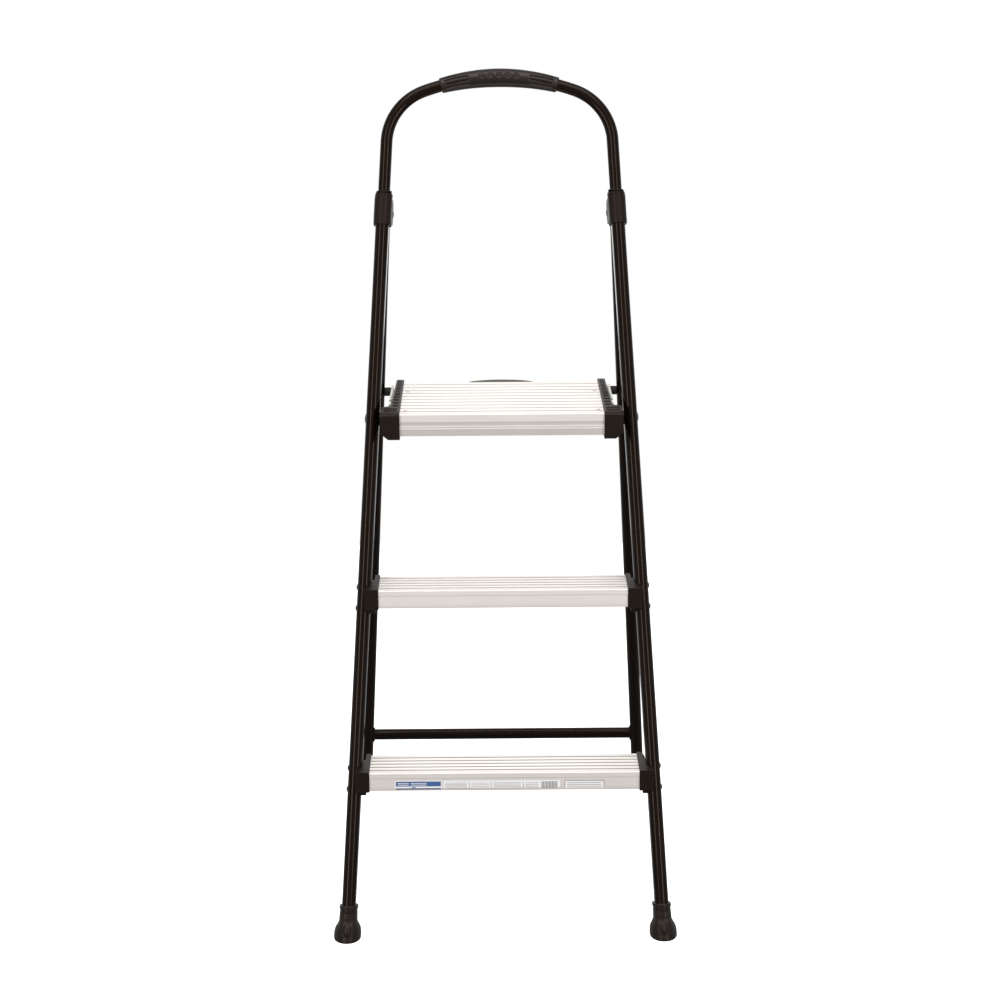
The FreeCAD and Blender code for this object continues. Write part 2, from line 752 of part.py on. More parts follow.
for step, height in step_heights.items():
    width = "sizes.%s_step_width" % step
    name = step + "_step_tread"
    front = rail_y(height) - size("step_overhang")
    plank = tread(
        name + "_plank", width, "sizes.step_depth", "sizes.step_thickness", 5, "sizes.step_groove_pitch"
    )
    plank.Placement = Placement(Vector(0, front, height), Rotation())
    keep(name, plank)
    for side, hand in hands.items():
        name = "%s_step_bracket_%s" % (step, side)
        half = size(step + "_step_width") / 2
        body = new_body(name + "_block", Placement(Vector(hand * half, front, height), Rotation()))
        pad(body, bracket_profile(body, name + "_outline"), "sizes.bracket_width", backwards=hand < 0)
        wall = size("tread_wall") + 0.2
        tongue = box(
            name + "_tongue",
            Placement(
                Vector(min(hand * half, hand * (half - size("tongue_length"))), front + wall,
                       height + wall - size("step_thickness")),
                Rotation(),
            ),
            size("tongue_length"), size("step_depth") - 2 * wall, size("step_thickness") - 2 * wall,
        )
        inner = -hand * (size("rail_width") / 2 + size("leg_clearance"))
        sweep = 3 * size("rail_width")
        swing = box(
            name + "_swing",
            rail_frame(hand) * Placement(
                Vector(
                    min(inner, inner + hand * sweep), size("leg_sweep_front"),
                    height - size("bracket_drop"),
                ),
                Rotation(),
            ),
            sweep, size("step_depth"), 3 * size("bracket_drop"),
        )
        foot_inner = half_width(height) - size("rail_width") / 2 - size("bracket_foot_width")
        trim = box(
            name + "_trim",
            Placement(
                Vector(
                    min(hand * half, hand * foot_inner), front - size("step_depth"),
                    height - 3 * size("bracket_drop"),
                ),
                Rotation(),
            ),
            foot_inner - half, 3 * size("step_depth"),
            3 * size("bracket_drop") - size("step_thickness") - size("bracket_rim"),
        )
        solid = fuse(name + "_solid", [body, tongue])
        keep(name, cut(name, solid, [rail_stock[side], swing, trim] + step_rivet_set[step, side]))


# ---- platform: ribbed tread between two moulded end caps, pivoting on the front rails

platform_corner = Vector(0, platform_front, platform_height)

platform_plank = tread(
    "platform_plank", "sizes.platform_width", "sizes.platform_depth", "sizes.platform_thickness",
    9, "sizes.platform_groove_pitch",
)
platform_plank.Placement = Placement(platform_corner, Rotation())

platform_screws = {"left": [], "right": []}
for side, hand in hands.items():
    for row in ("front", "rear"):
        across = hand * (size("platform_width") / 2 - size("platform_screw_inset"))
        seat = platform_corner + Vector(across, size("platform_screw_" + row), -size("screw_sink"))
        name = "platform_screw_%s_%s" % (side, row)
        tip = seat - z_axis * size("screw_length")
        platform_screws[side].append(rivet(name, seat, tip, "screw", heads=1))
all_platform_screws = platform_screws["left"] + platform_screws["right"]
keep("platform_screws", group("platform_screws", all_platform_screws))
keep("platform_tread", cut("platform_tread", platform_plank, all_platform_screws))

for side, hand in hands.items():
    name = "platform_end_cap_" + side
    half = size("platform_width") / 2
    corner = Placement(platform_corner + x_axis * hand * half, Rotation())
    plan = new_body(name + "_plan", corner * Placement(Vector(0, 0, -size("cap_drop")), Rotation()))
    outline = new_sketch(plan, name + "_outline", "XY_Plane")
    sign = "-" if hand < 0 else ""
    front_edge = "-sizes.cap_front_rim"
    rear_edge = "sizes.platform_depth + sizes.cap_rear_rim"
    draw_polygon(
        outline,
        [
            ("0", front_edge), (sign + "sizes.cap_front_width", front_edge),
            (sign + "sizes.cap_front_width", "sizes.cap_block - sizes.cap_chamfer"),
            (sign + "sizes.cap_middle_width", "sizes.cap_block"),
            (sign + "sizes.cap_middle_width", "sizes.cap_step"),
            (sign + "sizes.cap_rear_width", rear_edge), ("0", rear_edge),
        ],
    )
    pad(plan, outline, "sizes.cap_drop + sizes.cap_crown")
    flank = new_body(name + "_flank", corner)
    outline = new_sketch(flank, name + "_side", "YZ_Plane")
    draw_polygon(
        outline,
        [
            (front_edge, "sizes.cap_crown - sizes.cap_edge"),
            (front_edge + " + sizes.cap_edge", "sizes.cap_crown"),
            (rear_edge + " - sizes.cap_edge / 2", "sizes.cap_crown"), (rear_edge, "-sizes.cap_edge"),
            (rear_edge, "-sizes.cap_rear_drop"), ("sizes.cap_step + sizes.cap_edge", "-sizes.cap_rear_drop"),
            ("sizes.cap_step - sizes.cap_under_slope", "-sizes.cap_drop"),
            (front_edge + " + sizes.cap_edge", "-sizes.cap_drop"),
            (front_edge, "sizes.cap_edge - sizes.cap_drop"),
        ],
    )
    pad(flank, outline, "3 * sizes.cap_front_width", midplane=True)
    shell = add("Part::Common", name + "_shell")
    shell.Base = plan
    shell.Tool = flank
    wall = size("tread_wall") + 0.2
    tongue_end = min(hand * half, hand * (half - size("tongue_length")))
    tongue = box(
        name + "_tongue",
        Placement(
            platform_corner + Vector(tongue_end, wall, wall - size("platform_thickness")), Rotation()
        ),
        size("tongue_length"), size("platform_depth") - 2 * wall, size("platform_thickness") - 2 * wall,
    )
    pivot_hole = oblique_seat(
        name + "_pivot_hole", side, pivot, half, half + 2 * size("cap_front_width"),
        "sizes.pivot_rivet_shank + sizes.running_clearance",
    )
    head_pocket = oblique_seat(
        name + "_head_pocket", side, pivot, half - 1.5 * size("tongue_length"), half + size("pivot_seat"),
        "sizes.pivot_rivet_head + 1",
    )
    boss = oblique_seat(
        name + "_boss", side, pivot, half, half + size("cap_front_width"), "sizes.cap_boss_radius"
    )
    corner_trim = box(
        name + "_corner_trim",
        Placement(
            Vector(
                hand * (half + size("cap_front_width")) - size("cap_corner"),
                platform_corner.y - 2 * size("cap_front_rim"), platform_corner.z - size("cap_drop"),
            ),
            Rotation(y_axis, 45),
        ),
        size("cap_corner") * math.sqrt(2), size("cap_block") + 2 * size("cap_front_rim"),
        size("cap_corner") * math.sqrt(2),
    )
    solid = fuse(name + "_solid", [shell, boss, tongue])
    tools = [pivot_hole, head_pocket, corner_trim] + platform_screws[side]
    keep(name, cut(name, solid, tools))

    washer = ring(
        "platform_pivot_washer_%s_ring" % side,
        Vector(hand * (half + size("cap_front_width") + gap), pivot.y, pivot.z),
        Vector(hand * half_width(pivot.z), pivot.y, pivot.z),
        "sizes.washer_radius", "sizes.pivot_rivet_shank",
    )
    washer_name = "platform_pivot_washer_" + side
    keep(washer_name, cut(washer_name, washer, [rail_stock[side]]))

handle_name = "platform_pull_handle"
handle = new_body(
    handle_name,
    Placement(
        platform_corner + Vector(0, size("platform_depth"), -size("handle_drop") - size("handle_thickness")),
        Rotation(),
    ),
)
arch = new_sketch(handle, "handle_arch", "XY_Plane")
half_chord = size("handle_chord") / 2
arch_radius = (half_chord**2 + size("handle_rise") ** 2) / (2 * size("handle_rise"))
arch_turn = math.asin(half_chord / arch_radius)
arch_circle = Part.Circle(Vector(0, size("handle_rise") - arch_radius, 0), z_axis, arch_radius)
arch.addGeometry(Part.ArcOfCircle(arch_circle, math.pi / 2 - arch_turn, math.pi / 2 + arch_turn), False)
arch.addGeometry(Part.LineSegment(Vector(-half_chord, 0, 0), Vector(half_chord, 0, 0)), False)
arch.addConstraint(Sketcher.Constraint("Coincident", 1, 1, 0, 2))
arch.addConstraint(Sketcher.Constraint("Coincident", 1, 2, 0, 1))
arch.addConstraint(Sketcher.Constraint("Symmetric", 1, 1, 1, 2, -1, 1))
bound(arch, Sketcher.Constraint("DistanceX", 1, 1, 1, 2, 2 * half_chord), "sizes.handle_chord")
bound(
    arch, Sketcher.Constraint("Radius", 0, arch_radius),
    "((sizes.handle_chord / 2) ^ 2 + sizes.handle_rise ^ 2) / (2 * sizes.handle_rise)",
)
pad(handle, arch, "sizes.handle_thickness")
back_plate = new_sketch(handle, "handle_back_plate", "XY_Plane")
plate_half = "sizes.handle_plate_width / 2"
draw_polygon(
    back_plate,
    [
        ("-" + plate_half, "0"), (plate_half, "0"),
        (plate_half, "sizes.handle_plate"), ("-" + plate_half, "sizes.handle_plate"),
    ],
)
pad(handle, back_plate, "sizes.handle_plate_drop", backwards=True)
handle_screws = []
for side, hand in hands.items():
    seat = platform_corner + Vector(
        hand * size("handle_screw_spacing") / 2,
        size("platform_depth") + size("handle_plate"),
        -size("handle_drop") - size("handle_thickness") - size("handle_plate_drop") / 2,
    )
    tip = seat - y_axis * size("screw_length")
    handle_screws.append(rivet("handle_screw_" + side, seat, tip, "screw", heads=1))
keep("handle_screws", group("handle_screws", handle_screws))
keep(handle_name, cut(handle_name + "_drilled", handle, handle_screws))
parts["platform_tread"].Tool.Shapes = all_platform_screws + handle_screws


# ---- spreader links

link_run = link_rear - link_front
link_turn = math.degrees(math.atan2(link_run.z, link_run.y))
sheet.set("C1", str(link_run.Length))
sheet.setAlias("C1", "link_pitch")
sheet.set("C2", str(leg_to_hinge))
sheet.setAlias("C2", "leg_to_hinge")
doc.recompute()
for side, hand in hands.items():
    name = "link_" + side
    middle = (link_front + link_rear) * 0.5
    inner = size("link_inner") if hand > 0 else -link_outer
    turn = Rotation(x_axis, link_turn) * Rotation(y_axis, 90)
    bar = oval_prism(
        name + "_bar", Placement(Vector(inner, middle.y, middle.z), turn),
        "sizes.link_width", "sizes.link_pitch + sizes.link_width", "sizes.link_thickness",
    )
    bores = (
        ("front", link_front, "sizes.link_rivet_shank"),
        ("rear", link_rear, "sizes.link_rivet_shank + sizes.running_clearance"),
    )
    clear = size("link_thickness")
    holes = [
        oblique_seat(
            "%s_%s_hole" % (name, end), side, centre, size("link_inner") - clear, link_outer + clear, bore
        )
        for end, centre, bore in bores
    ]
    keep(name, cut(name, bar, holes))
    front_spacer = "link_front_spacer_" + side
    spacer_inner = Vector(hand * (link_cap_face + gap), link_front.y, link_front.z)
    spacer_outer = Vector(hand * size("link_inner"), link_front.y, link_front.z)
    spacer = ring(front_spacer, spacer_inner, spacer_outer, "sizes.spacer_radius", "sizes.link_rivet_shank")
    keep(front_spacer, spacer)
    rear_spacer = "link_rear_spacer_" + side
    spacer_inner = Vector(hand * (link_outer + gap), link_rear.y, link_rear.z)
    spacer_outer = Vector(hand * half_width(link_rear.z), link_rear.y, link_rear.z)
    spacer = ring(
        rear_spacer + "_ring", spacer_inner, spacer_outer, "sizes.spacer_radius", "sizes.link_rivet_shank"
    )
    keep(rear_spacer, cut(rear_spacer, spacer, [leg_stock[side]]))


# ---- rear frame: legs and cross brace

brace_centre = leg_point(1, size("brace_height"))
brace_end = brace_centre.x
brace = ring(
    "rear_cross_brace_tube",
    Vector(-brace_end, brace_centre.y, brace_centre.z), Vector(brace_end, brace_centre.y, brace_centre.z),
    "sizes.brace_diameter / 2", "sizes.brace_diameter / 2 - sizes.tube_wall",
)
keep("rear_cross_brace", cut("rear_cross_brace", brace, [leg_stock["left"], leg_stock["right"]]))

for side, hand in hands.items():
    name = "rear_leg_" + side
    lifted = Placement(Vector(0, 0, size("tube_start")), Rotation())
    tube = oval_prism(
        name + "_tube", leg_frame(hand) * lifted, "sizes.rail_width", "sizes.leg_depth",
        "sizes.leg_to_hinge + sizes.leg_overrun - sizes.tube_start", "sizes.tube_wall",
    )
    hinge_hole = oblique_seat(
        name + "_hinge_hole", side, hinge,
        size("hinge_half_width") - size("rail_width"), size("hinge_half_width") + size("rail_width"),
        "sizes.hinge_rivet_shank + sizes.running_clearance",
    )
    keep(name, cut(name, tube, [hinge_hole, link_rear_rivets[side]]))


# ---- check every object, then write one file for each piece

doc.recompute()
failed = [item.Name for item in doc.Objects if "Invalid" in item.State or "Error" in item.State]
for name, item in parts.items():
    shape = item.Shape
    if shape.isNull() or not shape.isValid() or not shape.Solids:
        failed.append(name)
if failed:
    raise RuntimeError("failed: " + ", ".join(failed))
for name, item in parts.items():
    item.Shape.exportStep("parts/%s.step" % name)
whole = Part.makeCompound([item.Shape for item in parts.values()]).BoundBox
print(len(parts), "parts; box", [round(v, 1) for v in (whole.XMin, whole.YMin, whole.ZMin)],
      [round(v, 1) for v in (whole.XMax, whole.YMax, whole.ZMax)])
print("hinge", hinge, "pivot", pivot, "link", link_front, link_rear, round(link_run.Length, 2))
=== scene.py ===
import math
import json

import bmesh
import bpy
import numpy as np
from mathutils import Matrix, Vector


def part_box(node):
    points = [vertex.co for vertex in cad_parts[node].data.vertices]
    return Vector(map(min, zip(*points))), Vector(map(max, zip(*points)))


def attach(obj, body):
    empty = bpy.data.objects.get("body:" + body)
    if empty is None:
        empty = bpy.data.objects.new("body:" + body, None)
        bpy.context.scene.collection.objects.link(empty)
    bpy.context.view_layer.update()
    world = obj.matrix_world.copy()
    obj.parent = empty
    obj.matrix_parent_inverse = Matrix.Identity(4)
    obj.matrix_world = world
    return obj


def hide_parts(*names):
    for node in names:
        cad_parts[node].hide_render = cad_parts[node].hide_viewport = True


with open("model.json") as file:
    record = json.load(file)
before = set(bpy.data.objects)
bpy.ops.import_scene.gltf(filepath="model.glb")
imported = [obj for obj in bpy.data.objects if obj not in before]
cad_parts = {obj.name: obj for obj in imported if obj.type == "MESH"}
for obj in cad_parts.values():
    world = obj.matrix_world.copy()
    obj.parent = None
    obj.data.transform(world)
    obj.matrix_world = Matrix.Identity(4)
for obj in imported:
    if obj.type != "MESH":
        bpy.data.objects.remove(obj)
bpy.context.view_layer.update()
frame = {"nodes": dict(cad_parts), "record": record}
nodes = frame["nodes"]
sides = {"left": -1, "right": 1}
print("frame loaded:", len(nodes), "nodes")

# what the whole stool is laid out from, in metres and degrees
stance = {
    "lean": 14.5,  # front frame, off upright
    "footY": 0.32,  # front and rear feet, ahead of and behind the middle
    "footHalfWidth": 0.2062,
    "hingeHalfWidth": 0.1544,
    "hingeHeight": 0.912,
    "hingeSetback": 0.042,
}
lean = math.radians(stance["lean"])
splay = (stance["footHalfWidth"] - stance["hingeHalfWidth"]) / stance["hingeHeight"]
hingeY = -stance["footY"] + stance["hingeHeight"] * math.tan(lean) + stance["hingeSetback"]
legAngle = math.atan((stance["footY"] - hingeY) / stance["hingeHeight"])
slopeUp = np.array([0, math.sin(lean), math.cos(lean)])  # up the slope of the front frame
slopeBack = np.array([0, math.cos(lean), -math.sin(lean)])  # square to it, backwards
acrossX = np.array([1.0, 0, 0])
slopeFoot = np.array([0, -stance["footY"], 0])


def halfWidth(height):
    return stance["footHalfWidth"] - splay * height


def turnX(angle):
    c, s = math.cos(angle), math.sin(angle)
    return np.array([[1, 0, 0], [0, c, -s], [0, s, c]])


def turnY(angle):
    c, s = math.cos(angle), math.sin(angle)
    return np.array([[c, 0, s], [0, 1, 0], [-s, 0, c]])


# Foot point and axes of a leaning tube: flank, depth, axis.
def tubeFrame(hand, footY, angle):
    tilt = math.atan(splay * math.cos(angle))
    axes = turnX(angle) @ turnY(-hand * tilt)
    return np.array([hand * stance["footHalfWidth"], footY, 0]), axes


def railFrame(hand):
    return tubeFrame(hand, -stance["footY"], -lean)


def legFrame(hand):
    return tubeFrame(hand, stance["footY"], legAngle)


# shader groups shared by the finishes


def groupNodes(name, inputs, outputs):
    group = bpy.data.node_groups.new(name, "ShaderNodeTree")
    for label, kind, value in inputs:
        socket = group.interface.new_socket(label, in_out="INPUT", socket_type=kind)
        socket.default_value = value
    for label, kind in outputs:
        group.interface.new_socket(label, in_out="OUTPUT", socket_type=kind)
    start = group.nodes.new("NodeGroupInput")
    end = group.nodes.new("NodeGroupOutput")
    return group, start, end


def addNode(tree, kind, values=None, **settings):
    node = tree.nodes.new(kind)
    for key, value in settings.items():
        setattr(node, key, value)
    for key, value in (values or {}).items():
        node.inputs[key].default_value = value
    return node


def link(tree, source, target):
    tree.links.new(source, target)


# Fine grain with slow blotches: height from two noises, roughness and tint that wander.
def makeGrainGroup():
    group, start, end = groupNodes(
        "surfaceGrain",
        [
            ("Grain Scale", "NodeSocketFloat", 900.0),
            ("Blotch Scale", "NodeSocketFloat", 14.0),
            ("Roughness", "NodeSocketFloat", 0.4),
            ("Roughness Spread", "NodeSocketFloat", 0.1),
            ("Dark", "NodeSocketColor", (0.01, 0.01, 0.01, 1)),
            ("Light", "NodeSocketColor", (0.03, 0.03, 0.03, 1)),
            ("Stretch", "NodeSocketVector", (1, 1, 1)),
        ],
        [("Color", "NodeSocketColor"), ("Roughness", "NodeSocketFloat"), ("Height", "NodeSocketFloat")],
    )
    coords = addNode(group, "ShaderNodeTexCoord")
    stretch = addNode(group, "ShaderNodeVectorMath", operation="MULTIPLY")
    link(group, coords.outputs["Object"], stretch.inputs[0])
    link(group, start.outputs["Stretch"], stretch.inputs[1])
    grain = addNode(group, "ShaderNodeTexNoise", {"Detail": 3.0, "Roughness": 0.55})
    blotch = addNode(group, "ShaderNodeTexNoise", {"Detail": 4.0, "Roughness": 0.6})
    link(group, stretch.outputs[0], grain.inputs["Vector"])
    link(group, coords.outputs["Object"], blotch.inputs["Vector"])
    link(group, start.outputs["Grain Scale"], grain.inputs["Scale"])
    link(group, start.outputs["Blotch Scale"], blotch.inputs["Scale"])
    both = addNode(group, "ShaderNodeMath", operation="MULTIPLY_ADD")
    link(group, grain.outputs["Fac"], both.inputs[0])
    both.inputs[1].default_value = 0.5
    half = addNode(group, "ShaderNodeMath", {1: 0.5}, operation="MULTIPLY")
    link(group, blotch.outputs["Fac"], half.inputs[0])
    link(group, half.outputs[0], both.inputs[2])
    mix = addNode(group, "ShaderNodeMix", data_type="RGBA")
    link(group, both.outputs[0], mix.inputs["Factor"])
    link(group, start.outputs["Dark"], mix.inputs[6])
    link(group, start.outputs["Light"], mix.inputs[7])
    centred = addNode(group, "ShaderNodeMath", {1: 0.5}, operation="SUBTRACT")
    link(group, both.outputs[0], centred.inputs[0])
    rough = addNode(group, "ShaderNodeMath", operation="MULTIPLY_ADD", use_clamp=True)
    link(group, centred.outputs[0], rough.inputs[0])
    link(group, start.outputs["Roughness Spread"], rough.inputs[1])
    link(group, start.outputs["Roughness"], rough.inputs[2])
    link(group, mix.outputs[2], end.inputs["Color"])
    link(group, rough.outputs[0], end.inputs["Roughness"])
    link(group, grain.outputs["Fac"], end.inputs["Height"])
    return group


grainGroup = makeGrainGroup()


# A Principled surface whose colour, roughness and bump all come from the grain group; where a shade mask is
# given, painted shade darkens that colour.
def finish(name, dark, light, roughness, spread, grain, blotch=14, stretch=(1, 1, 1), bump=0.1,
           bumpDistance=0.0002, metallic=0.0, specular=0.5, tint=(1, 1, 1), shade=None,
           paintedShadeTint=(0.2, 0.195, 0.19)):
    material = bpy.data.materials.new(name)
    material.use_nodes = True
    tree = material.node_tree
    shader = tree.nodes["Principled BSDF"]
    grainNode = addNode(tree, "ShaderNodeGroup")
    grainNode.node_tree = grainGroup
    for key, value in (
        ("Grain Scale", grain), ("Blotch Scale", blotch), ("Roughness", roughness),
        ("Roughness Spread", spread), ("Dark", (*dark, 1)), ("Light", (*light, 1)), ("Stretch", stretch),
    ):
        grainNode.inputs[key].default_value = value
    # painted shade: the base colour is multiplied by the shade tint where the mask says so, standing in for
    # the shade down in grooves and on the darker bands of the planks' fronts
    if shade:  # darker where the piece's own mask says so, as down in a groove
        mask = addNode(tree, "ShaderNodeAttribute", attribute_name=shade)
        darken = addNode(tree, "ShaderNodeMix", data_type="RGBA", blend_type="MULTIPLY")
        darken.inputs[7].default_value = (*paintedShadeTint, 1)
        link(tree, mask.outputs["Fac"], darken.inputs["Factor"])
        link(tree, grainNode.outputs["Color"], darken.inputs[6])
        link(tree, darken.outputs[2], shader.inputs["Base Color"])
    else:
        link(tree, grainNode.outputs["Color"], shader.inputs["Base Color"])
    link(tree, grainNode.outputs["Roughness"], shader.inputs["Roughness"])
    bumpNode = addNode(tree, "ShaderNodeBump", {"Strength": bump, "Distance": bumpDistance})
    link(tree, grainNode.outputs["Height"], bumpNode.inputs["Height"])
    link(tree, bumpNode.outputs["Normal"], shader.inputs["Normal"])
    shader.inputs["Metallic"].default_value = metallic
    shader.inputs["Specular IOR Level"].default_value = specular
    shader.inputs["Specular Tint"].default_value = (*tint, 1)
    return material


# name, dark and light colour, roughness and its spread, grain scale
finishes = {
    "black_steel": finish(
        "glossBlackPaint", (0.0022, 0.0012, 0.0007), (0.0045, 0.0026, 0.0017), 0.15, 0.05, 260,
        bump=0.015, bumpDistance=0.0001, specular=0.17, tint=(1.0, 0.74, 0.6),
    ),
    "dark_steel": finish(
        "darkRivetSteel", (0.03, 0.027, 0.024), (0.09, 0.08, 0.07), 0.32, 0.2, 700, metallic=0.5,
    ),
    "zinc_steel": finish(
        "zincPlate", (0.36, 0.34, 0.27), (0.6, 0.58, 0.5), 0.32, 0.25, 300, metallic=1.0,
    ),
    # painted shade: the planks' grooveShade mask darkens this aluminium in its grooves, on its hidden insides
    # and along the bands of its fronts
    "ribbed_aluminium": finish(
        "millAluminium", (0.88, 0.82, 0.78), (0.97, 0.91, 0.87), 0.42, 0.15, 700,
        stretch=(0.02, 1, 1), bump=0.1, metallic=0.7, shade="grooveShade",
    ),
    "moulded_plastic": finish(
        "mouldedBlackPlastic", (0.0045, 0.0026, 0.0018), (0.010, 0.0066, 0.0049), 0.46, 0.2, 1600,
        bump=0.2, specular=0.17, tint=(1.0, 0.8, 0.7),
    ),
    "grip_plastic": finish(
        "satinGripPlastic", (0.005, 0.0033, 0.0027), (0.011, 0.0078, 0.0067), 0.3, 0.08, 1400,
        bump=0.03, specular=0.34, tint=(1.0, 0.88, 0.82),
    ),
    "nylon": finish(
        "blackNylon", (0.006, 0.005, 0.004), (0.013, 0.011, 0.009), 0.45, 0.1, 1200, specular=0.3,
    ),
    "foot_rubber": finish(
        "bootRubber", (0.004, 0.0024, 0.0018), (0.009, 0.006, 0.0048), 0.4, 0.2, 1100,
        bump=0.25, specular=0.3, tint=(1.0, 0.82, 0.74),
    ),
}
labelFinishes = {
    "white": finish("labelWhite", (0.78, 0.77, 0.76), (0.86, 0.85, 0.84), 0.35, 0.1, 500, bump=0.03),
    "pale": finish("labelPale", (0.70, 0.665, 0.655), (0.76, 0.725, 0.71), 0.38, 0.1, 500, bump=0.03),
    "blue": finish("labelBlue", (0.035, 0.10, 0.26), (0.05, 0.13, 0.32), 0.35, 0.1, 400, bump=0.03),
    "navy": finish("labelNavy", (0.028, 0.06, 0.13), (0.04, 0.08, 0.17), 0.35, 0.1, 400, bump=0.03),
    "grey": finish("labelGrey", (0.33, 0.31, 0.31), (0.42, 0.40, 0.40), 0.4, 0.1, 500, bump=0.03),
    "dark": finish("labelDark", (0.07, 0.07, 0.07), (0.11, 0.11, 0.11), 0.4, 0.1, 500, bump=0.03),
}

slots = {row["node"]: row["material_slot"] for row in frame["record"]["subparts"]}
for name, node in nodes.items():
    node.data.materials.clear()
    node.data.materials.append(finishes[slots[name]])
print("finishes made:", len(finishes))


# mesh builders


def makePiece(name, verts, faces, slot, body, replaced=(), sharpAngle=35, material=None):
    mesh = bpy.data.meshes.new(name)
    mesh.from_pydata(verts.tolist(), [], faces)
    mesh.validate()
    mesh.polygons.foreach_set("use_smooth", np.ones(len(mesh.polygons), dtype=bool))
    mesh.set_sharp_from_angle(angle=math.radians(sharpAngle))
    mesh.materials.append(material or finishes[slot])
    piece = bpy.data.objects.new(name, mesh)
    bpy.context.scene.collection.objects.link(piece)
    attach(piece, body)
    if replaced:
        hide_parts(*replaced)
    return piece


# Quads between neighbouring points of a grid, closed round either way.
def gridFaces(rows, columns, wrapRows=False, wrapColumns=True, offset=0):
    i = np.arange(rows if wrapRows else rows - 1)
    j = np.arange(columns if wrapColumns else columns - 1)
    i, j = np.meshgrid(i, j, indexing="ij")
    nextI, nextJ = (i + 1) % rows, (j + 1) % columns
    corners = [i * columns + j, i * columns + nextJ, nextI * columns + nextJ, nextI * columns + j]
    quads = np.stack(corners, axis=-1)
    return (quads.reshape(-1, 4) + offset).tolist()


# Closed rings in a row along a path, with an end cap on the first and last unless they wrap.
def sweepPiece(name, rings, *args, wrapRows=False, **kwargs):
    rows, columns = rings.shape[:2]
    faces = gridFaces(rows, columns, wrapRows=wrapRows)
    if not wrapRows:
        faces.append(list(range(columns))[::-1])
        faces.append([(rows - 1) * columns + k for k in range(columns)])
    verts = rings.reshape(-1, 3)
    piece = makePiece(name, verts, faces, *args, **kwargs)
    if signedVolume(piece.data) < 0:
        piece.data.flip_normals()
    return piece


# Six times the volume that the faces close in, positive where they point outwards.
def signedVolume(mesh):
    mesh.calc_loop_triangles()
    corners = np.zeros(len(mesh.loop_triangles) * 3, dtype=np.int32)
    mesh.loop_triangles.foreach_get("vertices", corners)
    co = np.zeros(len(mesh.vertices) * 3)
    mesh.vertices.foreach_get("co", co)
    a, b, c = co.reshape(-1, 3)[corners.reshape(-1, 3)].transpose(1, 0, 2)
    return float(np.einsum("ij,ij->i", a, np.cross(b, c)).sum())


# Round-ended slot section: two half circles joined by straight flanks, across X and back along Y.
def ovalRing(width, depth, count=48):
    radius = width / 2
    half = depth / 2 - radius
    angle = np.linspace(0, 2 * math.pi, count, endpoint=False) + math.pi / count
    x = radius * np.cos(angle)
    y = radius * np.sin(angle) + half * np.sign(np.sin(angle))
    return np.stack([x, y], axis=-1)


# Open tube: out along the outside, round the end, back along the inside.
def tubeRings(section, innerSection, origin, axes, start, end):
    stations = [(section, start), (section, end), (innerSection, end), (innerSection, start)]
    rings = [origin + s[:, :1] * axes[:, 0] + s[:, 1:] * axes[:, 1] + z * axes[:, 2] for s, z in stations]
    return np.array(rings)


# rails and legs: flat-sided oval tubes

ovalTube = {
    "width": 0.0175,
    "railDepth": 0.036,
    "legDepth": 0.028,
    "wall": 0.0012,
    "start": 0.008,
    "railEnd": 0.945,
    "legEnd": 0.012,  # past the hinge
}


# The oval section carried straight from the foot to the hinge, hollow inside.
def makeOvalTubes():
    legTilt = math.atan(splay * math.cos(legAngle))
    legReach = stance["hingeHeight"] / math.cos(legAngle) / math.cos(legTilt)
    for side, hand in sides.items():
        for name, node, body, placed, depth, end in (
            ("FrontRailTube", "front_rail_", "front_frame", railFrame(hand), ovalTube["railDepth"],
             ovalTube["railEnd"]),
            ("RearLegTube", "rear_leg_", "rear_frame", legFrame(hand), ovalTube["legDepth"],
             legReach + ovalTube["legEnd"]),
        ):
            outer = ovalRing(ovalTube["width"], depth)
            inner = ovalRing(ovalTube["width"] - 2 * ovalTube["wall"], depth - 2 * ovalTube["wall"])
            rings = tubeRings(outer, inner, *placed, ovalTube["start"], end)
            sweepPiece(name + side.title(), rings, "black_steel", body, replaced=[node + side], wrapRows=True)


makeOvalTubes()
print("rails and legs made")

# handrail: one round tube bent into a loop in the slope of the front frame

handrail = {
    "radius": 0.00795,
    "start": 0.949,  # up the slope
    "bendRadius": 0.075,
    "crownRadius": 0.295,
    "crownHeight": 1.1261,
}
railSplay = math.atan(splay * math.cos(lean))
crownCentre = handrail["crownHeight"] - handrail["crownRadius"]


# Where the bend's centre lies so that it touches the straight side and the crown from inside.
def bendCentre():
    reach = stance["footHalfWidth"] - handrail["bendRadius"] / math.cos(railSplay)
    inner = handrail["crownRadius"] - handrail["bendRadius"]
    slope = math.tan(railSplay)
    a = 1 + slope**2
    b = -2 * (reach * slope + crownCentre)
    c = reach**2 + crownCentre**2 - inner**2
    height = (-b + math.sqrt(b**2 - 4 * a * c)) / (2 * a)
    return reach - slope * height, height


# Points of a circle in the slope's plane: centre + radius * (cos, sin).
def arcPoints(centreX, centreHeight, radius, turn):
    return np.stack([centreX + radius * np.cos(turn), centreHeight + radius * np.sin(turn)], axis=-1)


# Right half of the loop, foot to crown, then mirrored: points in the slope's plane.
def handrailLine():
    bendX, bendH = bendCentre()
    crownTurn = math.atan2(bendH - crownCentre, bendX)
    startX = stance["footHalfWidth"] - math.tan(railSplay) * handrail["start"]
    endX = bendX + math.cos(railSplay) * handrail["bendRadius"]
    endH = bendH + math.sin(railSplay) * handrail["bendRadius"]
    t = np.linspace(0, 1, 12)[:-1]
    straight = np.stack(
        [startX + (endX - startX) * t, handrail["start"] + (endH - handrail["start"]) * t], axis=-1
    )
    bend = arcPoints(bendX, bendH, handrail["bendRadius"], np.linspace(railSplay, crownTurn, 40)[:-1])
    crown = arcPoints(0, crownCentre, handrail["crownRadius"], np.linspace(crownTurn, math.pi / 2, 40))
    half = np.concatenate([straight, bend, crown])
    return np.concatenate([half, half[-2::-1] * [-1, 1]])


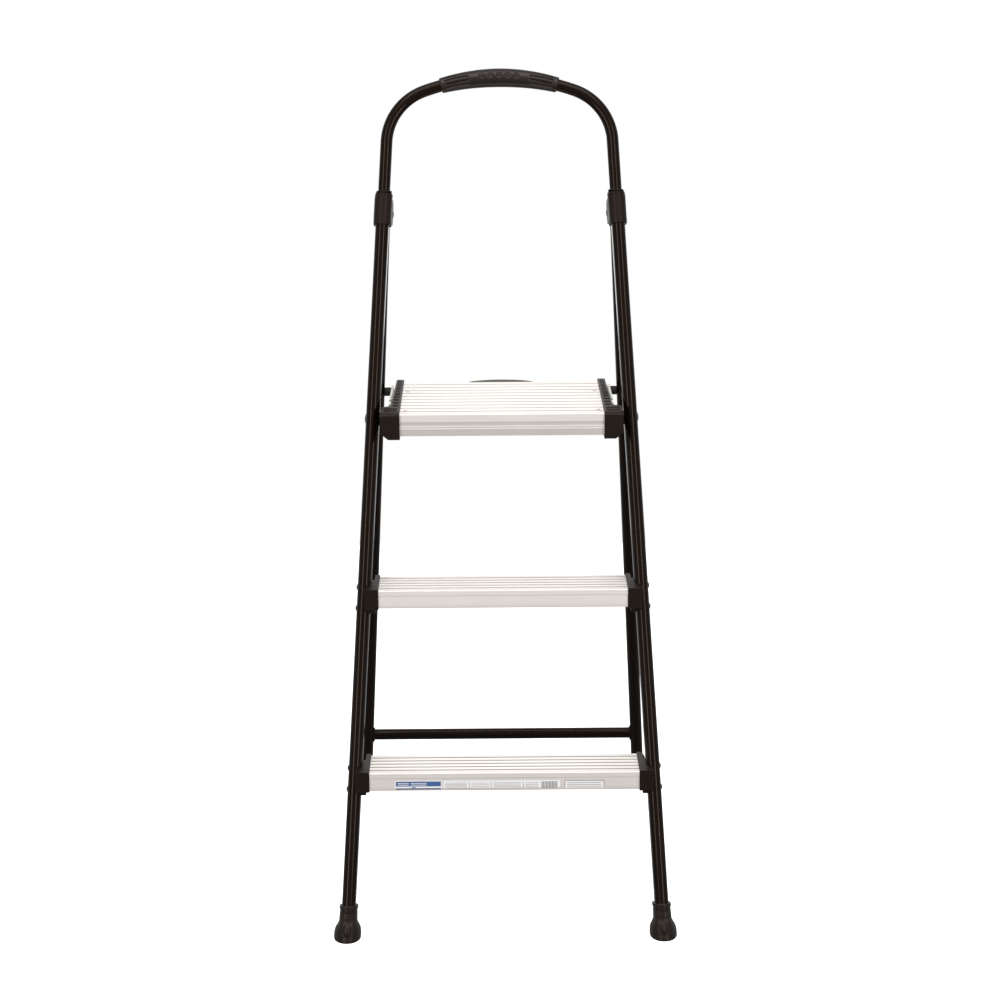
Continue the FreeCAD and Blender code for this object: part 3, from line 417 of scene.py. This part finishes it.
# Rings round a line in the slope's plane: centre + radius * (cos * outward + sin * square to the slope).
def ringsAlong(line, outward, radius, angle):
    centre = slopeFoot + line[:, :1] * acrossX + line[:, 1:] * slopeUp
    out3 = outward[:, :1] * acrossX + outward[:, 1:] * slopeUp
    ring = np.cos(angle)[None, :, None] * out3[:, None] + np.sin(angle)[None, :, None] * slopeBack
    return centre[:, None] + radius[..., None] * ring


# A circle carried along the loop, its outward side a quarter turn from the tangent.
def makeHandrail():
    line = handrailLine()
    tangent = np.gradient(line, axis=0)
    tangent /= np.linalg.norm(tangent, axis=1, keepdims=True)
    outward = np.stack([tangent[:, 1], -tangent[:, 0]], axis=-1)
    angle = np.linspace(0, 2 * math.pi, 32, endpoint=False)
    rings = ringsAlong(line, outward, np.array([[handrail["radius"]]]), angle)
    sweepPiece("HandrailTube", rings, "black_steel", "front_frame", replaced=["handrail"])


makeHandrail()
print("handrail made")

# grip: two moulded halves round the crown, fluted towards the ends

grip = {
    "sweep": 30.4,  # degrees of the crown
    "middleRadius": 0.0123,
    "endRadius": 0.0101,
    "taper": 1.6,  # power of the fall from middle to ends
    "endRound": 0.0016,
    "fluteDepth": 0.0018,
    "fluteHalfWidth": 0.0016,
    "fluteAngles": (-128, -100, -72, -44),  # round the section, 0 is up and -90 is the front
    "fluteSpan": (0.5, 0.93),  # share of the half length
    "fluteEase": (0.04, 0.03),  # how gradually a flute begins and ends
    "dimples": 5,
    "dimplePitch": 0.0112,
    "dimpleDepth": 0.0017,
    "dimpleRadius": 0.0037,
    "dimpleAngle": -79,
    "button": 0.7,  # raised middle of a dimple, as a share of its depth
    "buttonNarrowing": 2.4,
}


# Zero up to low, one from high on, 3t^2 - 2t^3 between.
def smoothStep(x, low, high):
    t = np.clip((x - low) / (high - low), 0, 1)
    return t * t * (3 - 2 * t)


# The size raised to a power with the sign kept: a power below one squares a circle off.
def bulge(value, power):
    return np.sign(value) * np.abs(value) ** power


# Radius falls from middle to ends, less flutes along the end thirds and a row of round dimples.
def makeGrip():
    rows, columns = 260, 160
    half = math.radians(grip["sweep"]) / 2
    share = np.linspace(-1, 1, rows)
    turn = share * half
    outward = np.stack([np.sin(turn), np.cos(turn)], axis=-1)
    line = handrail["crownRadius"] * outward + np.array([0, crownCentre])
    angle = np.linspace(-math.pi, math.pi, columns, endpoint=False)
    fall = 1 - np.abs(share) ** grip["taper"]
    base = grip["endRadius"] + (grip["middleRadius"] - grip["endRadius"]) * fall
    fromEnd = (1 - np.abs(share)) * (handrail["crownRadius"] * half)
    inward = 1 - np.clip(fromEnd / grip["endRound"], 0, 1)
    rounding = grip["endRound"] * (1 - np.sqrt(np.clip(1 - inward**2, 0, 1)))
    radius = (base - rounding)[:, None] * np.ones(columns)
    (low, high), (easeIn, easeOut) = grip["fluteSpan"], grip["fluteEase"]
    span = smoothStep(np.abs(share), low, low + easeIn)
    span = span * (1 - smoothStep(np.abs(share), high - easeOut, high))
    for centre in np.radians(grip["fluteAngles"]):
        groove = np.exp(-(((angle - centre) * grip["middleRadius"]) / grip["fluteHalfWidth"]) ** 4)
        radius -= grip["fluteDepth"] * span[:, None] * groove[None]
    along = turn * handrail["crownRadius"]
    around = (angle - math.radians(grip["dimpleAngle"])) * grip["middleRadius"]
    for number in range(grip["dimples"]):
        middle = (number - (grip["dimples"] - 1) / 2) * grip["dimplePitch"]
        away = np.hypot(along[:, None] - middle, around[None]) / grip["dimpleRadius"]
        button = grip["button"] * np.exp(-((away * grip["buttonNarrowing"]) ** 4))
        radius -= grip["dimpleDepth"] * (np.exp(-(away**6)) - button)
    rings = ringsAlong(line, outward, radius, angle)
    sweepPiece("HandGrip", rings, "grip_plastic", "front_frame",
               replaced=["grip_front_shell", "grip_rear_shell"])


makeGrip()
print("grip made")

# steps and platform: extruded planks, their section carried from end to end

plank = {
    "grooveWidth": 0.0034,
    "grooveDepth": 0.0008,
    "grooveEdge": 0.0002,  # where the top turns from light to dark beside a groove
    "wall": 0.002,
    "lip": 0.010,
    "noseRadius": 0.0014,
    # painted shade, as the share of the shade tint mixed into the colour: down the grooves, on the noses,
    # along the back, the heel and the inside
    "grooveShade": 0.9,
    "noseShade": 0.15,
    "backShade": 0.1,
    "heelShade": 0.2,
    "insideShade": 0.3,
}
# down the front: depth, setback, painted shade that gives the front its lighter and darker bands
stepBands = (
    (0.0, 0.0, 0.05), (0.0022, 0.0, 0.05), (0.0068, 0.0, 0.0), (0.0072, 0.0007, 0.2), (0.0085, 0.0007, 0.0),
    (0.0190, 0.0007, 0.08), (0.0232, 0.0004, 0.25),
)
platformBands = (
    (0.0, 0.0, 0.1), (0.002, 0.0, 0.12), (0.0106, 0.0, 0.14), (0.0108, 0.0005, 0.4), (0.0156, 0.0005, 0.38),
    (0.0158, 0.0, 0.08), (0.0172, 0.0, 0.08), (0.0174, 0.0003, 0.34), (0.0188, 0.0003, 0.34),
    (0.0190, 0.0, 0.12), (0.0204, 0.0, 0.12), (0.0206, 0.0005, 0.34), (0.0284, 0.0009, 0.4),
)
planks = {
    "bottom": {
        "node": "bottom_step_tread", "body": "front_frame", "grooves": 5, "pitch": 0.0132, "bands": stepBands,
    },
    "middle": {
        "node": "middle_step_tread", "body": "front_frame", "grooves": 5, "pitch": 0.0132, "bands": stepBands,
    },
    "platform": {
        "node": "platform_tread", "body": "platform", "grooves": 10, "pitch": 0.0215, "bands": platformBands,
    },
}


# Outside of the section with a painted shade for each corner: grooved top, back, lips, then the banded front.
def plankOutline(depth, thickness, grooves, pitch, bands):
    first = (depth - (grooves - 1) * pitch) / 2
    radius = plank["noseRadius"]
    arc = np.linspace(0, math.pi / 2, 5)
    nose = [(radius * (1 - math.sin(a)), -radius * (1 - math.cos(a))) for a in arc]
    top = [(y, z, plank["noseShade"]) for y, z in nose[::-1]]
    half, deep = plank["grooveWidth"] / 2, plank["grooveDepth"]
    dark, edge = plank["grooveShade"], plank["grooveEdge"]
    for k in range(grooves):
        middle = first + k * pitch
        left, right = middle - half, middle + half
        top += [(left - edge, 0, 0), (left, 0, dark), (left + deep / 2, -deep, dark),
                (right - deep / 2, -deep, dark), (right, 0, dark), (right + edge, 0, 0)]
    top += [(depth - y, z, plank["backShade"]) for y, z in nose]
    low = -thickness
    wall, lip = plank["wall"], plank["lip"]
    corners = [
        (depth - lip, low), (depth - lip, low + wall), (depth - wall, low + wall), (depth - wall, -wall),
        (3 * wall, -wall), (3 * wall, low + wall), (lip, low + wall), (lip, low),
    ]
    inside = [(depth, low, plank["heelShade"])] + [(y, z, plank["insideShade"]) for y, z in corners]
    front = [(inset, -down, shade) for down, inset, shade in bands if radius < down < thickness][::-1]
    return np.array(top + inside + [(bands[-1][1], low, bands[-1][2])] + front)


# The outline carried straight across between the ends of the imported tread.
def makePlank(name, row):
    low, high = (np.array(corner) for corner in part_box(row["node"]))
    outline = plankOutline(high[1] - low[1], high[2] - low[2], row["grooves"], row["pitch"], row["bands"])
    stations = np.linspace(low[0], high[0], 9)
    rings = np.empty((len(stations), len(outline), 3))
    rings[..., 0] = stations[:, None]
    rings[..., 1] = low[1] + outline[:, 0]
    rings[..., 2] = high[2] + outline[:, 1]
    piece = sweepPiece(name.title() + "Plank", rings, "ribbed_aluminium", row["body"], replaced=[row["node"]],
                       sharpAngle=25)
    # the painted shade of each corner, kept on the mesh as a point attribute for the aluminium's finish
    mask = piece.data.attributes.new("grooveShade", "FLOAT", "POINT")
    mask.data.foreach_set("value", np.tile(outline[:, 2], len(stations)))


for name, row in planks.items():
    makePlank(name, row)
print("planks made")

# moulded fittings: the CAD shapes with their seams merged and their edges rounded

softEdges = {
    "hinge_connector_": ("HingeConnector", "front_frame", 0.0012),
    "bottom_step_bracket_": ("BottomStepBracket", "front_frame", 0.0011),
    "middle_step_bracket_": ("MiddleStepBracket", "front_frame", 0.0011),
    "platform_end_cap_": ("PlatformEndCap", "platform", 0.0018),
}


softening = {
    "mergeDistance": 0.000002,
    "flatAngle": 2,  # degrees, below this neighbouring faces are one
    "sharpAngle": 40,
    "bevelAngle": 32,
    "segments": 3,
}


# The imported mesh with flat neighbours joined, and a rounding of one width along its sharper edges.
def makeSoftened(node, name, body, width):
    mesh = nodes[node].data.copy()
    mesh.name = name
    shape = bmesh.new()
    shape.from_mesh(mesh)
    bmesh.ops.remove_doubles(shape, verts=shape.verts, dist=softening["mergeDistance"])
    flat = math.radians(softening["flatAngle"])
    bmesh.ops.dissolve_limit(shape, angle_limit=flat, verts=shape.verts, edges=shape.edges)
    shape.to_mesh(mesh)
    shape.free()
    mesh.polygons.foreach_set("use_smooth", np.ones(len(mesh.polygons), dtype=bool))
    mesh.set_sharp_from_angle(angle=math.radians(softening["sharpAngle"]))
    piece = bpy.data.objects.new(name, mesh)
    bpy.context.scene.collection.objects.link(piece)
    bevel = piece.modifiers.new("roundEdges", "BEVEL")
    bevel.width = width
    bevel.segments = softening["segments"]
    bevel.limit_method = "ANGLE"
    bevel.angle_limit = math.radians(softening["bevelAngle"])
    bevel.harden_normals = True
    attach(piece, body)
    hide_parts(node)
    return piece


for prefix, (name, body, width) in softEdges.items():
    for side in sides:
        makeSoftened(prefix + side, name + side.title(), body, width)
print("moulded fittings softened")

# raised rims where the connectors close round the handrail's tube
collar = {"height": 0.9446, "gap": 0.0012, "thickness": 0.0013, "tall": 0.0015}


# Centre + (circle + small circle) across the tube, the small circle drawn taller along it.
def makeCollar(side, hand):
    up = collar["height"] / slopeUp[2]
    centre = slopeFoot + hand * halfWidth(collar["height"]) * acrossX + up * slopeUp
    turn = np.linspace(0, 2 * math.pi, 96, endpoint=False)[:, None]
    around = np.linspace(0, 2 * math.pi, 12, endpoint=False)[None]
    out = handrail["radius"] + collar["gap"] + collar["thickness"] * np.cos(around)
    x, y = out * np.cos(turn), out * np.sin(turn)
    z = collar["tall"] * np.sin(around) + 0 * turn
    verts = centre + x[..., None] * acrossX + y[..., None] * slopeBack + z[..., None] * slopeUp
    sweepPiece("Collar" + side.title(), verts, "moulded_plastic", "front_frame", wrapRows=True, sharpAngle=80)


for side, hand in sides.items():
    makeCollar(side, hand)
print("connector collars made")

# ribs across the tops of the platform's end caps

capRibs = {
    "frontRows": (0.0116, 0.027, 0.05, 0.07, 0.091, 0.110, 0.128),  # behind the tread's front edge
    "rearRows": (0.141, 0.152, 0.163, 0.174, 0.185, 0.196, 0.207, 0.218, 0.229),
    "frontHeight": 0.0014,
    "rearHeight": 0.0009,
    "width": 0.0016,
    "inset": 0.002,
    "frontWidth": 0.024,
    "middleWidth": 0.0125,
    "rearWidth": 0.010,
    "block": 0.048,
    "step": 0.110,
    "chamfer": 0.008,
    "taperEnd": 0.242,
    "start": 0.004,
    "pastTread": 0.009,
    "sunk": 0.0002,  # the skin's own level below the cap's top
    "skin": 0.0015,
}


# Width of the cap at a distance behind the tread's front edge: block, ramp, straight part, taper.
def capOuter(back):
    block = capRibs["block"]
    stations = [0, block - capRibs["chamfer"], block, capRibs["step"], capRibs["taperEnd"]]
    front, middle, rear = capRibs["frontWidth"], capRibs["middleWidth"], capRibs["rearWidth"]
    return np.interp(back, stations, [front, front, middle, middle, rear])


# A skin over the cap's top whose height is a row of rounded ridges across it.
def makeCapRibs(side, hand):
    low, high = (np.array(corner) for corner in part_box("platform_tread"))
    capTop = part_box("platform_end_cap_" + side)[1][2]
    back = np.linspace(capRibs["start"], high[1] - low[1] + capRibs["pastTread"], 900)
    across = np.array([0, 0.1, 0.9, 1])
    ridge = np.zeros_like(back)
    for end in ("front", "rear"):
        rows, height = capRibs[end + "Rows"], capRibs[end + "Height"]
        away = (back[:, None] - np.array(rows)) / capRibs["width"]
        ridge += height * np.exp(-(away**4)).sum(axis=1)
    width = capOuter(back) - 2 * capRibs["inset"]
    x = hand * (high[0] + capRibs["inset"] + across[None] * width[:, None])
    lift = np.array([0, 1, 1, 0])
    z = capTop - capRibs["sunk"] + ridge[:, None] * lift
    verts = np.stack([x, np.broadcast_to(low[1] + back[:, None], x.shape), z], axis=-1)
    under = verts[:, ::-1].copy()
    under[..., 2] = capTop - capRibs["skin"]
    rings = np.concatenate([verts, under], axis=1)
    sweepPiece("CapRibs" + side.title(), rings, "moulded_plastic", "platform", sharpAngle=50)


for side, hand in sides.items():
    makeCapRibs(side, hand)
print("cap ribs made")

# rubber boots: a sleeve round the tube, a groove, a waist and a flared sole

boot = {
    "sleeveWidth": 0.0115,
    "frontSleeveDepth": 0.021,
    "rearSleeveDepth": 0.0175,
    "soleWidth": 0.0177,
    "soleDepth": 0.025,
    "sleeveSquareness": 2.6,
    "soleSquareness": 2.0,
    "tiltFrom": 0.006,  # the rings turn square to the tube between these heights
    "tiltTo": 0.024,
    # height on the tube's axis, share of the way from sleeve to sole, extra thickness
    "profile": (
        (0.0, 0.90, 0.0), (0.0006, 0.965, 0.0), (0.0022, 1.0, 0.0), (0.006, 0.995, 0.0),
        (0.0066, 0.95, 0.0), (0.0076, 0.95, 0.0), (0.0084, 0.97, 0.0), (0.0115, 0.88, 0.0),
        (0.0145, 0.68, 0.0), (0.0175, 0.4, 0.0), (0.0205, 0.16, 0.0), (0.0225, 0.05, 0.0),
        (0.0245, 0.02, 0.0003), (0.0335, 0.0, 0.0),
        (0.0338, 0.0, -0.0007), (0.0347, 0.0, -0.0007), (0.0350, 0.0, 0.0), (0.0376, 0.0, 0.0002),
        (0.0379, 0.0, 0.0008), (0.0404, 0.0, 0.0008), (0.041, 0.0, 0.0003), (0.041, 0.0, -0.0024),
    ),
    "facing": (0.25, 0.6),  # how far round its outer end the panel and the stud reach
    "panel": {"width": 0.0058, "low": 0.0185, "high": 0.0325, "ease": 0.001, "depth": 0.0014},
    "stud": {"radius": 0.0042, "height": 0.0138, "rise": 0.0019},
}


# Heights, shares and extras of the profile, with more rings between; the last one turns in over the tube.
def bootStations():
    heights, *columns = np.array(boot["profile"]).T
    fine = np.unique(np.concatenate([heights, np.linspace(heights[0], heights[-2], 70)]))
    filled = [np.append(np.interp(fine, heights[:-1], column[:-1]), column[-1]) for column in columns]
    return [values[:, None] for values in (np.append(fine, heights[-1]), *filled)]


# Rings up the tube: an oval swelling from sleeve to sole, with a sunk panel and a stud on its outer end.
def makeBoot(name, node, body, sleeveDepth, angle, footY, hand):
    heights, shares, extra = bootStations()
    turn = np.linspace(0, 2 * math.pi, 120, endpoint=False)[None]
    c, s = np.cos(turn), np.sin(turn)
    power = 2 / (boot["sleeveSquareness"] + (boot["soleSquareness"] - boot["sleeveSquareness"]) * shares)
    x = bulge(c, power) * (boot["sleeveWidth"] + (boot["soleWidth"] - boot["sleeveWidth"]) * shares + extra)
    y = bulge(s, power) * (sleeveDepth + (boot["soleDepth"] - sleeveDepth) * shares + extra)
    outward = math.copysign(1, footY)
    facing = smoothStep(outward * s, *boot["facing"])
    panel, stud = boot["panel"], boot["stud"]
    inPanel = np.exp(-((x / panel["width"]) ** 8))
    inPanel = inPanel * smoothStep(heights, panel["low"], panel["low"] + panel["ease"])
    inPanel = inPanel * (1 - smoothStep(heights, panel["high"] - panel["ease"], panel["high"]))
    onStud = np.exp(-((np.hypot(x, heights - stud["height"]) / stud["radius"]) ** 6))
    y = y - outward * facing * (panel["depth"] * inPanel - stud["rise"] * onStud)
    tilt = smoothStep(heights, boot["tiltFrom"], boot["tiltTo"]) * angle
    centreX = hand * halfWidth(heights)
    centreY = footY - outward * heights * math.tan(angle)
    verts = np.stack([x + centreX, centreY + y * np.cos(tilt), heights + outward * y * np.sin(tilt)], axis=-1)
    sweepPiece(name, verts, "foot_rubber", body, replaced=[node], sharpAngle=45)


for side, hand in sides.items():
    makeBoot("FrontBoot" + side.title(), "front_foot_" + side, "front_frame", boot["frontSleeveDepth"], lean,
             -stance["footY"], hand)
    makeBoot("RearBoot" + side.title(), "rear_foot_" + side, "rear_frame", boot["rearSleeveDepth"], legAngle,
             stance["footY"], hand)
print("boots made")

# printed labels on the bottom step's front: plain blocks and bars, no lettering

labels = {
    "lift": 0.00012,
    "setback": 0.0007,
    # finish, x from, x to, height from, height to, layer
    "blocks": (
        ("white", -0.1420, -0.0815, 0.1950, 0.2072, 1), ("blue", -0.1408, -0.0825, 0.1998, 0.2064, 2),
        ("navy", -0.1408, -0.0825, 0.1956, 0.1974, 2), ("white", -0.0790, 0.0720, 0.1952, 0.2070, 1),
        ("dark", 0.0780, 0.1290, 0.1955, 0.2066, 1), ("white", 0.0787, 0.1283, 0.1962, 0.2059, 2),
        ("dark", -0.0460, -0.0455, 0.1960, 0.2060, 2), ("dark", -0.0175, -0.0170, 0.1960, 0.2060, 2),
        ("dark", 0.0240, 0.0245, 0.1960, 0.2060, 2),
    ),
    # finish, x from, x to, number of bars, first height, spacing, bar height
    "bars": (
        ("blue", -0.1200, -0.1150, 1, 0.1981, 0.001, 0.0009),
        ("pale", -0.1385, -0.1240, 2, 0.2012, 0.0022, 0.0009),
        ("pale", -0.1215, -0.1010, 2, 0.2012, 0.0022, 0.0009),
        ("grey", -0.0770, -0.0490, 5, 0.1964, 0.0019, 0.0006),
        ("grey", -0.0430, -0.0195, 4, 0.1968, 0.0023, 0.0005),
        ("grey", -0.0140, 0.0210, 5, 0.1964, 0.0019, 0.0005),
        ("grey", 0.0270, 0.0440, 4, 0.1966, 0.0023, 0.0006),
        ("grey", 0.0810, 0.1255, 3, 0.1972, 0.0028, 0.0010),
    ),
    "ticks": {
        "finish": "dark", "from": 0.0480, "to": 0.0690, "count": 15, "low": 0.1966, "high": 0.2056,
        "widths": (0.28, 0.55, 0.38),  # shares of the pitch, in turn
    },
}


# Blocks as they stand, bars stacked at their spacing, ticks side by side at one pitch.
def labelRows():
    rows = list(labels["blocks"])
    for finishName, left, right, count, first, spacing, tall in labels["bars"]:
        for k in range(count):
            rows.append((finishName, left, right, first + k * spacing, first + k * spacing + tall, 3))
    ticks = labels["ticks"]
    pitch = (ticks["to"] - ticks["from"]) / ticks["count"]
    for k in range(ticks["count"]):
        left = ticks["from"] + k * pitch
        wide = pitch * ticks["widths"][k % len(ticks["widths"])]
        rows.append((ticks["finish"], left, left + wide, ticks["low"], ticks["high"], 3))
    return rows


# Each block is a thin plate: four front corners, and the same four set back against the step.
def makeLabels():
    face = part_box("bottom_step_tread")[0].y + labels["setback"]
    rows = labelRows()
    for finishName in labelFinishes:
        mine = np.array([row[1:] for row in rows if row[0] == finishName])
        if not len(mine):
            continue
        left, right, low, high, layer = mine.T
        front = face - labels["lift"] * layer
        corner = [(left, low), (right, low), (right, high), (left, high)]
        depths = (front, np.full_like(front, face))
        verts = np.stack([np.stack([x, y, z], axis=-1) for y in depths for x, z in corner], axis=1)
        box = np.array([(0, 1, 2, 3), (7, 6, 5, 4), (0, 4, 5, 1), (1, 5, 6, 2), (2, 6, 7, 3), (3, 7, 4, 0)])
        faces = (box[None] + 8 * np.arange(len(mine))[:, None, None]).reshape(-1, 4).tolist()
        piece = makePiece("Label" + finishName.title(), verts.reshape(-1, 3), faces, None, "front_frame",
                          material=labelFinishes[finishName])
        if signedVolume(piece.data) < 0:
            piece.data.flip_normals()


makeLabels()
print("labels made")

# pull handle behind the platform: a thin crescent lip on a back plate

pullHandle = {
    "chord": 0.088,
    "rise": 0.021,
    "thickness": 0.005,
    "archPower": 0.62,
    "leastReach": 0.0006,
    "rimPower": 0.3,
    "facePower": 0.35,
    "plate": 0.003,
    "plateWidth": 0.080,
    "plateDrop": 0.014,
    "plateGap": 0.0001,
    "plateRound": 0.0008,
    "plateShrink": 0.93,
}


# A crescent: for each place across, a rounded slab from the plate out to the arch, thinner to its rim.
def makePullHandle():
    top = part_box("platform_pull_handle")[1].z
    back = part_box("platform_tread")[1].y
    across = np.linspace(-1, 1, 90)
    half = pullHandle["chord"] / 2
    reach = pullHandle["rise"] * (1 - across**2) ** pullHandle["archPower"] + pullHandle["leastReach"]
    turn = np.linspace(0, 2 * math.pi, 40, endpoint=False)
    y = (0.5 + 0.5 * bulge(np.cos(turn), pullHandle["rimPower"]))[None] * reach[:, None]
    thick = pullHandle["thickness"] / 2
    z = bulge(np.sin(turn), pullHandle["facePower"]) * thick * np.ones_like(y)
    x = np.broadcast_to((across * half)[:, None], y.shape)
    verts = np.stack([x, back + y, top - thick + z], axis=-1)
    sweepPiece("PullHandle", verts, "moulded_plastic", "platform", replaced=["platform_pull_handle"],
               sharpAngle=60)
    section = ovalRing(pullHandle["plateDrop"], pullHandle["plateWidth"], 40)[:, ::-1]
    plate = pullHandle["plate"]
    depth = np.array([pullHandle["plateGap"], plate - pullHandle["plateRound"], plate])
    shrink = np.array([1, 1, pullHandle["plateShrink"]])
    plateMiddle = top - pullHandle["thickness"] - pullHandle["plateDrop"] / 2
    rings = np.empty((3, len(section), 3))
    rings[..., 0] = section[None, :, 0] * shrink[:, None]
    rings[..., 1] = back + depth[:, None]
    rings[..., 2] = plateMiddle + section[None, :, 1] * shrink[:, None]
    sweepPiece("PullHandlePlate", rings, "moulded_plastic", "platform")


makePullHandle()
print("pull handle made")

# weld beads where the cross brace meets the legs

bead = {
    "height": 0.089,
    "radius": 0.0086,
    "thickness": 0.0022,
    "flatten": 0.8,
    "ripples": 22,
    "ripple": 0.0003,
}


# A rippled ring round the brace, drawn out to follow the leg's flank.
def makeWeldBead(side, hand):
    origin, axes = legFrame(hand)
    t = bead["height"] / axes[2, 2]
    centre = origin + axes[:, 2] * t
    turn = np.linspace(0, 2 * math.pi, 132, endpoint=False)
    around = np.linspace(0, 2 * math.pi, 14, endpoint=False)
    small = bead["thickness"] + bead["ripple"] * np.sin(bead["ripples"] * turn)
    ring = bead["radius"] + small[:, None] * np.cos(around)[None]
    direction = np.cos(turn)[:, None, None] * axes[:, 1] + np.sin(turn)[:, None, None] * axes[:, 2]
    flank = -hand * (ovalTube["width"] / 2 + small[:, None] * bead["flatten"] * np.sin(around)[None])
    verts = centre + ring[..., None] * direction + flank[..., None] * axes[:, 0]
    sweepPiece("BraceWeld" + side.title(), verts, "black_steel", "rear_frame", wrapRows=True, sharpAngle=80)


for side, hand in sides.items():
    makeWeldBead(side, hand)
print("weld beads made")

# floor, light and camera

stageSizes = {
    "floorRadius": 1.9,
    "floorTone": (0.3, 0.92),  # seen by the stool, seen by the camera
    "floorGlow": 0.6,
    "floorRoughness": 0.9,
    "floorSpecular": 0.1,
    "backdrop": (1.0, 1.0, 1.0),
    "roomLight": 0.6,  # what the stool itself sees of the room
}


def makeStage():
    turn = np.linspace(0, 2 * math.pi, 96, endpoint=False)
    rim = stageSizes["floorRadius"] * np.stack([np.cos(turn), np.sin(turn), 0 * turn], axis=-1)
    mesh = bpy.data.meshes.new("PaleFloor")
    mesh.from_pydata(rim.tolist(), [], [list(range(len(rim)))])
    floor = bpy.data.objects.new("PaleFloor", mesh)
    bpy.context.scene.collection.objects.link(floor)
    material = bpy.data.materials.new("paleFloor")
    material.use_nodes = True
    shader = material.node_tree.nodes["Principled BSDF"]
    shader.inputs["Roughness"].default_value = stageSizes["floorRoughness"]
    shader.inputs["Specular IOR Level"].default_value = stageSizes["floorSpecular"]
    shader.inputs["Emission Color"].default_value = (1, 1, 1, 1)
    eye = addNode(material.node_tree, "ShaderNodeLightPath").outputs["Is Camera Ray"]
    tone = addNode(material.node_tree, "ShaderNodeMapRange",
                   {"To Min": stageSizes["floorTone"][0], "To Max": stageSizes["floorTone"][1]})
    glow = addNode(material.node_tree, "ShaderNodeMapRange",
                   {"To Min": 0.0, "To Max": stageSizes["floorGlow"]})
    link(material.node_tree, eye, tone.inputs["Value"])
    link(material.node_tree, eye, glow.inputs["Value"])
    link(material.node_tree, tone.outputs["Result"], shader.inputs["Base Color"])
    link(material.node_tree, glow.outputs["Result"], shader.inputs["Emission Strength"])
    mesh.materials.append(material)
    world = bpy.data.worlds.new("whiteStudio")
    world.use_nodes = True
    tree = world.node_tree
    background = tree.nodes["Background"]
    background.inputs["Color"].default_value = (*stageSizes["backdrop"], 1)
    path = addNode(tree, "ShaderNodeLightPath")
    strength = addNode(tree, "ShaderNodeMapRange", {"To Min": stageSizes["roomLight"], "To Max": 1.0})
    link(tree, path.outputs["Is Camera Ray"], strength.inputs["Value"])
    link(tree, strength.outputs["Result"], background.inputs["Strength"])
    bpy.context.scene.world = world


lamps = {
    "stripLeft": {"at": (-2.0, -2.87, 1.7), "aim": (0, 0, 1.7), "size": (0.6, 2.8), "power": 40},
    "stripRight": {"at": (2.0, -2.87, 1.7), "aim": (0, 0, 1.7), "size": (0.6, 2.8), "power": 40},
    "overhead": {"at": (0, -1.2, 3.4), "aim": (0, 0, 0.3), "size": (3.0, 2.6), "power": 66},
    "backWash": {"at": (0, 3.2, 1.7), "aim": (0, 0, 1.7), "size": (5.0, 3.0), "power": 34},
}


def makeLamps():
    for name, lamp in lamps.items():
        data = bpy.data.lights.new(name, "AREA")
        data.shape = "RECTANGLE"
        data.size, data.size_y = lamp["size"]
        data.energy = lamp["power"]
        item = bpy.data.objects.new(name, data)
        bpy.context.scene.collection.objects.link(item)
        item.location = lamp["at"]
        toAim = Vector(lamp["aim"]) - item.location
        item.rotation_euler = toAim.to_track_quat("-Z", "Y").to_euler()


camera = {
    "at": (-0.0204, -3.9012, 1.382),
    "yaw": 0.2681,
    "pitch": 12.5781,  # down
    "roll": -0.3577,
    "lens": 104.72,
    "sensor": 36,
}


def makeCamera():
    yaw, pitch, roll = (math.radians(camera[key]) for key in ("yaw", "pitch", "roll"))
    forward = Vector((math.sin(yaw) * math.cos(pitch), math.cos(yaw) * math.cos(pitch), -math.sin(pitch)))
    right = Vector((math.cos(yaw), -math.sin(yaw), 0))
    up = right.cross(forward)
    localX = math.cos(roll) * right + math.sin(roll) * up
    localY = -math.sin(roll) * right + math.cos(roll) * up
    turn = Matrix((localX, localY, -forward)).transposed()
    data = bpy.data.cameras.new("studioCamera")
    data.lens = camera["lens"]
    data.sensor_width = camera["sensor"]
    data.clip_end = 60
    item = bpy.data.objects.new("studioCamera", data)
    bpy.context.scene.collection.objects.link(item)
    item.matrix_world = Matrix.Translation(camera["at"]) @ turn.to_4x4()
    bpy.context.scene.camera = item


makeStage()
makeLamps()
makeCamera()
bpy.context.scene.view_settings.view_transform = "Standard"
print("stage, lamps and camera made")
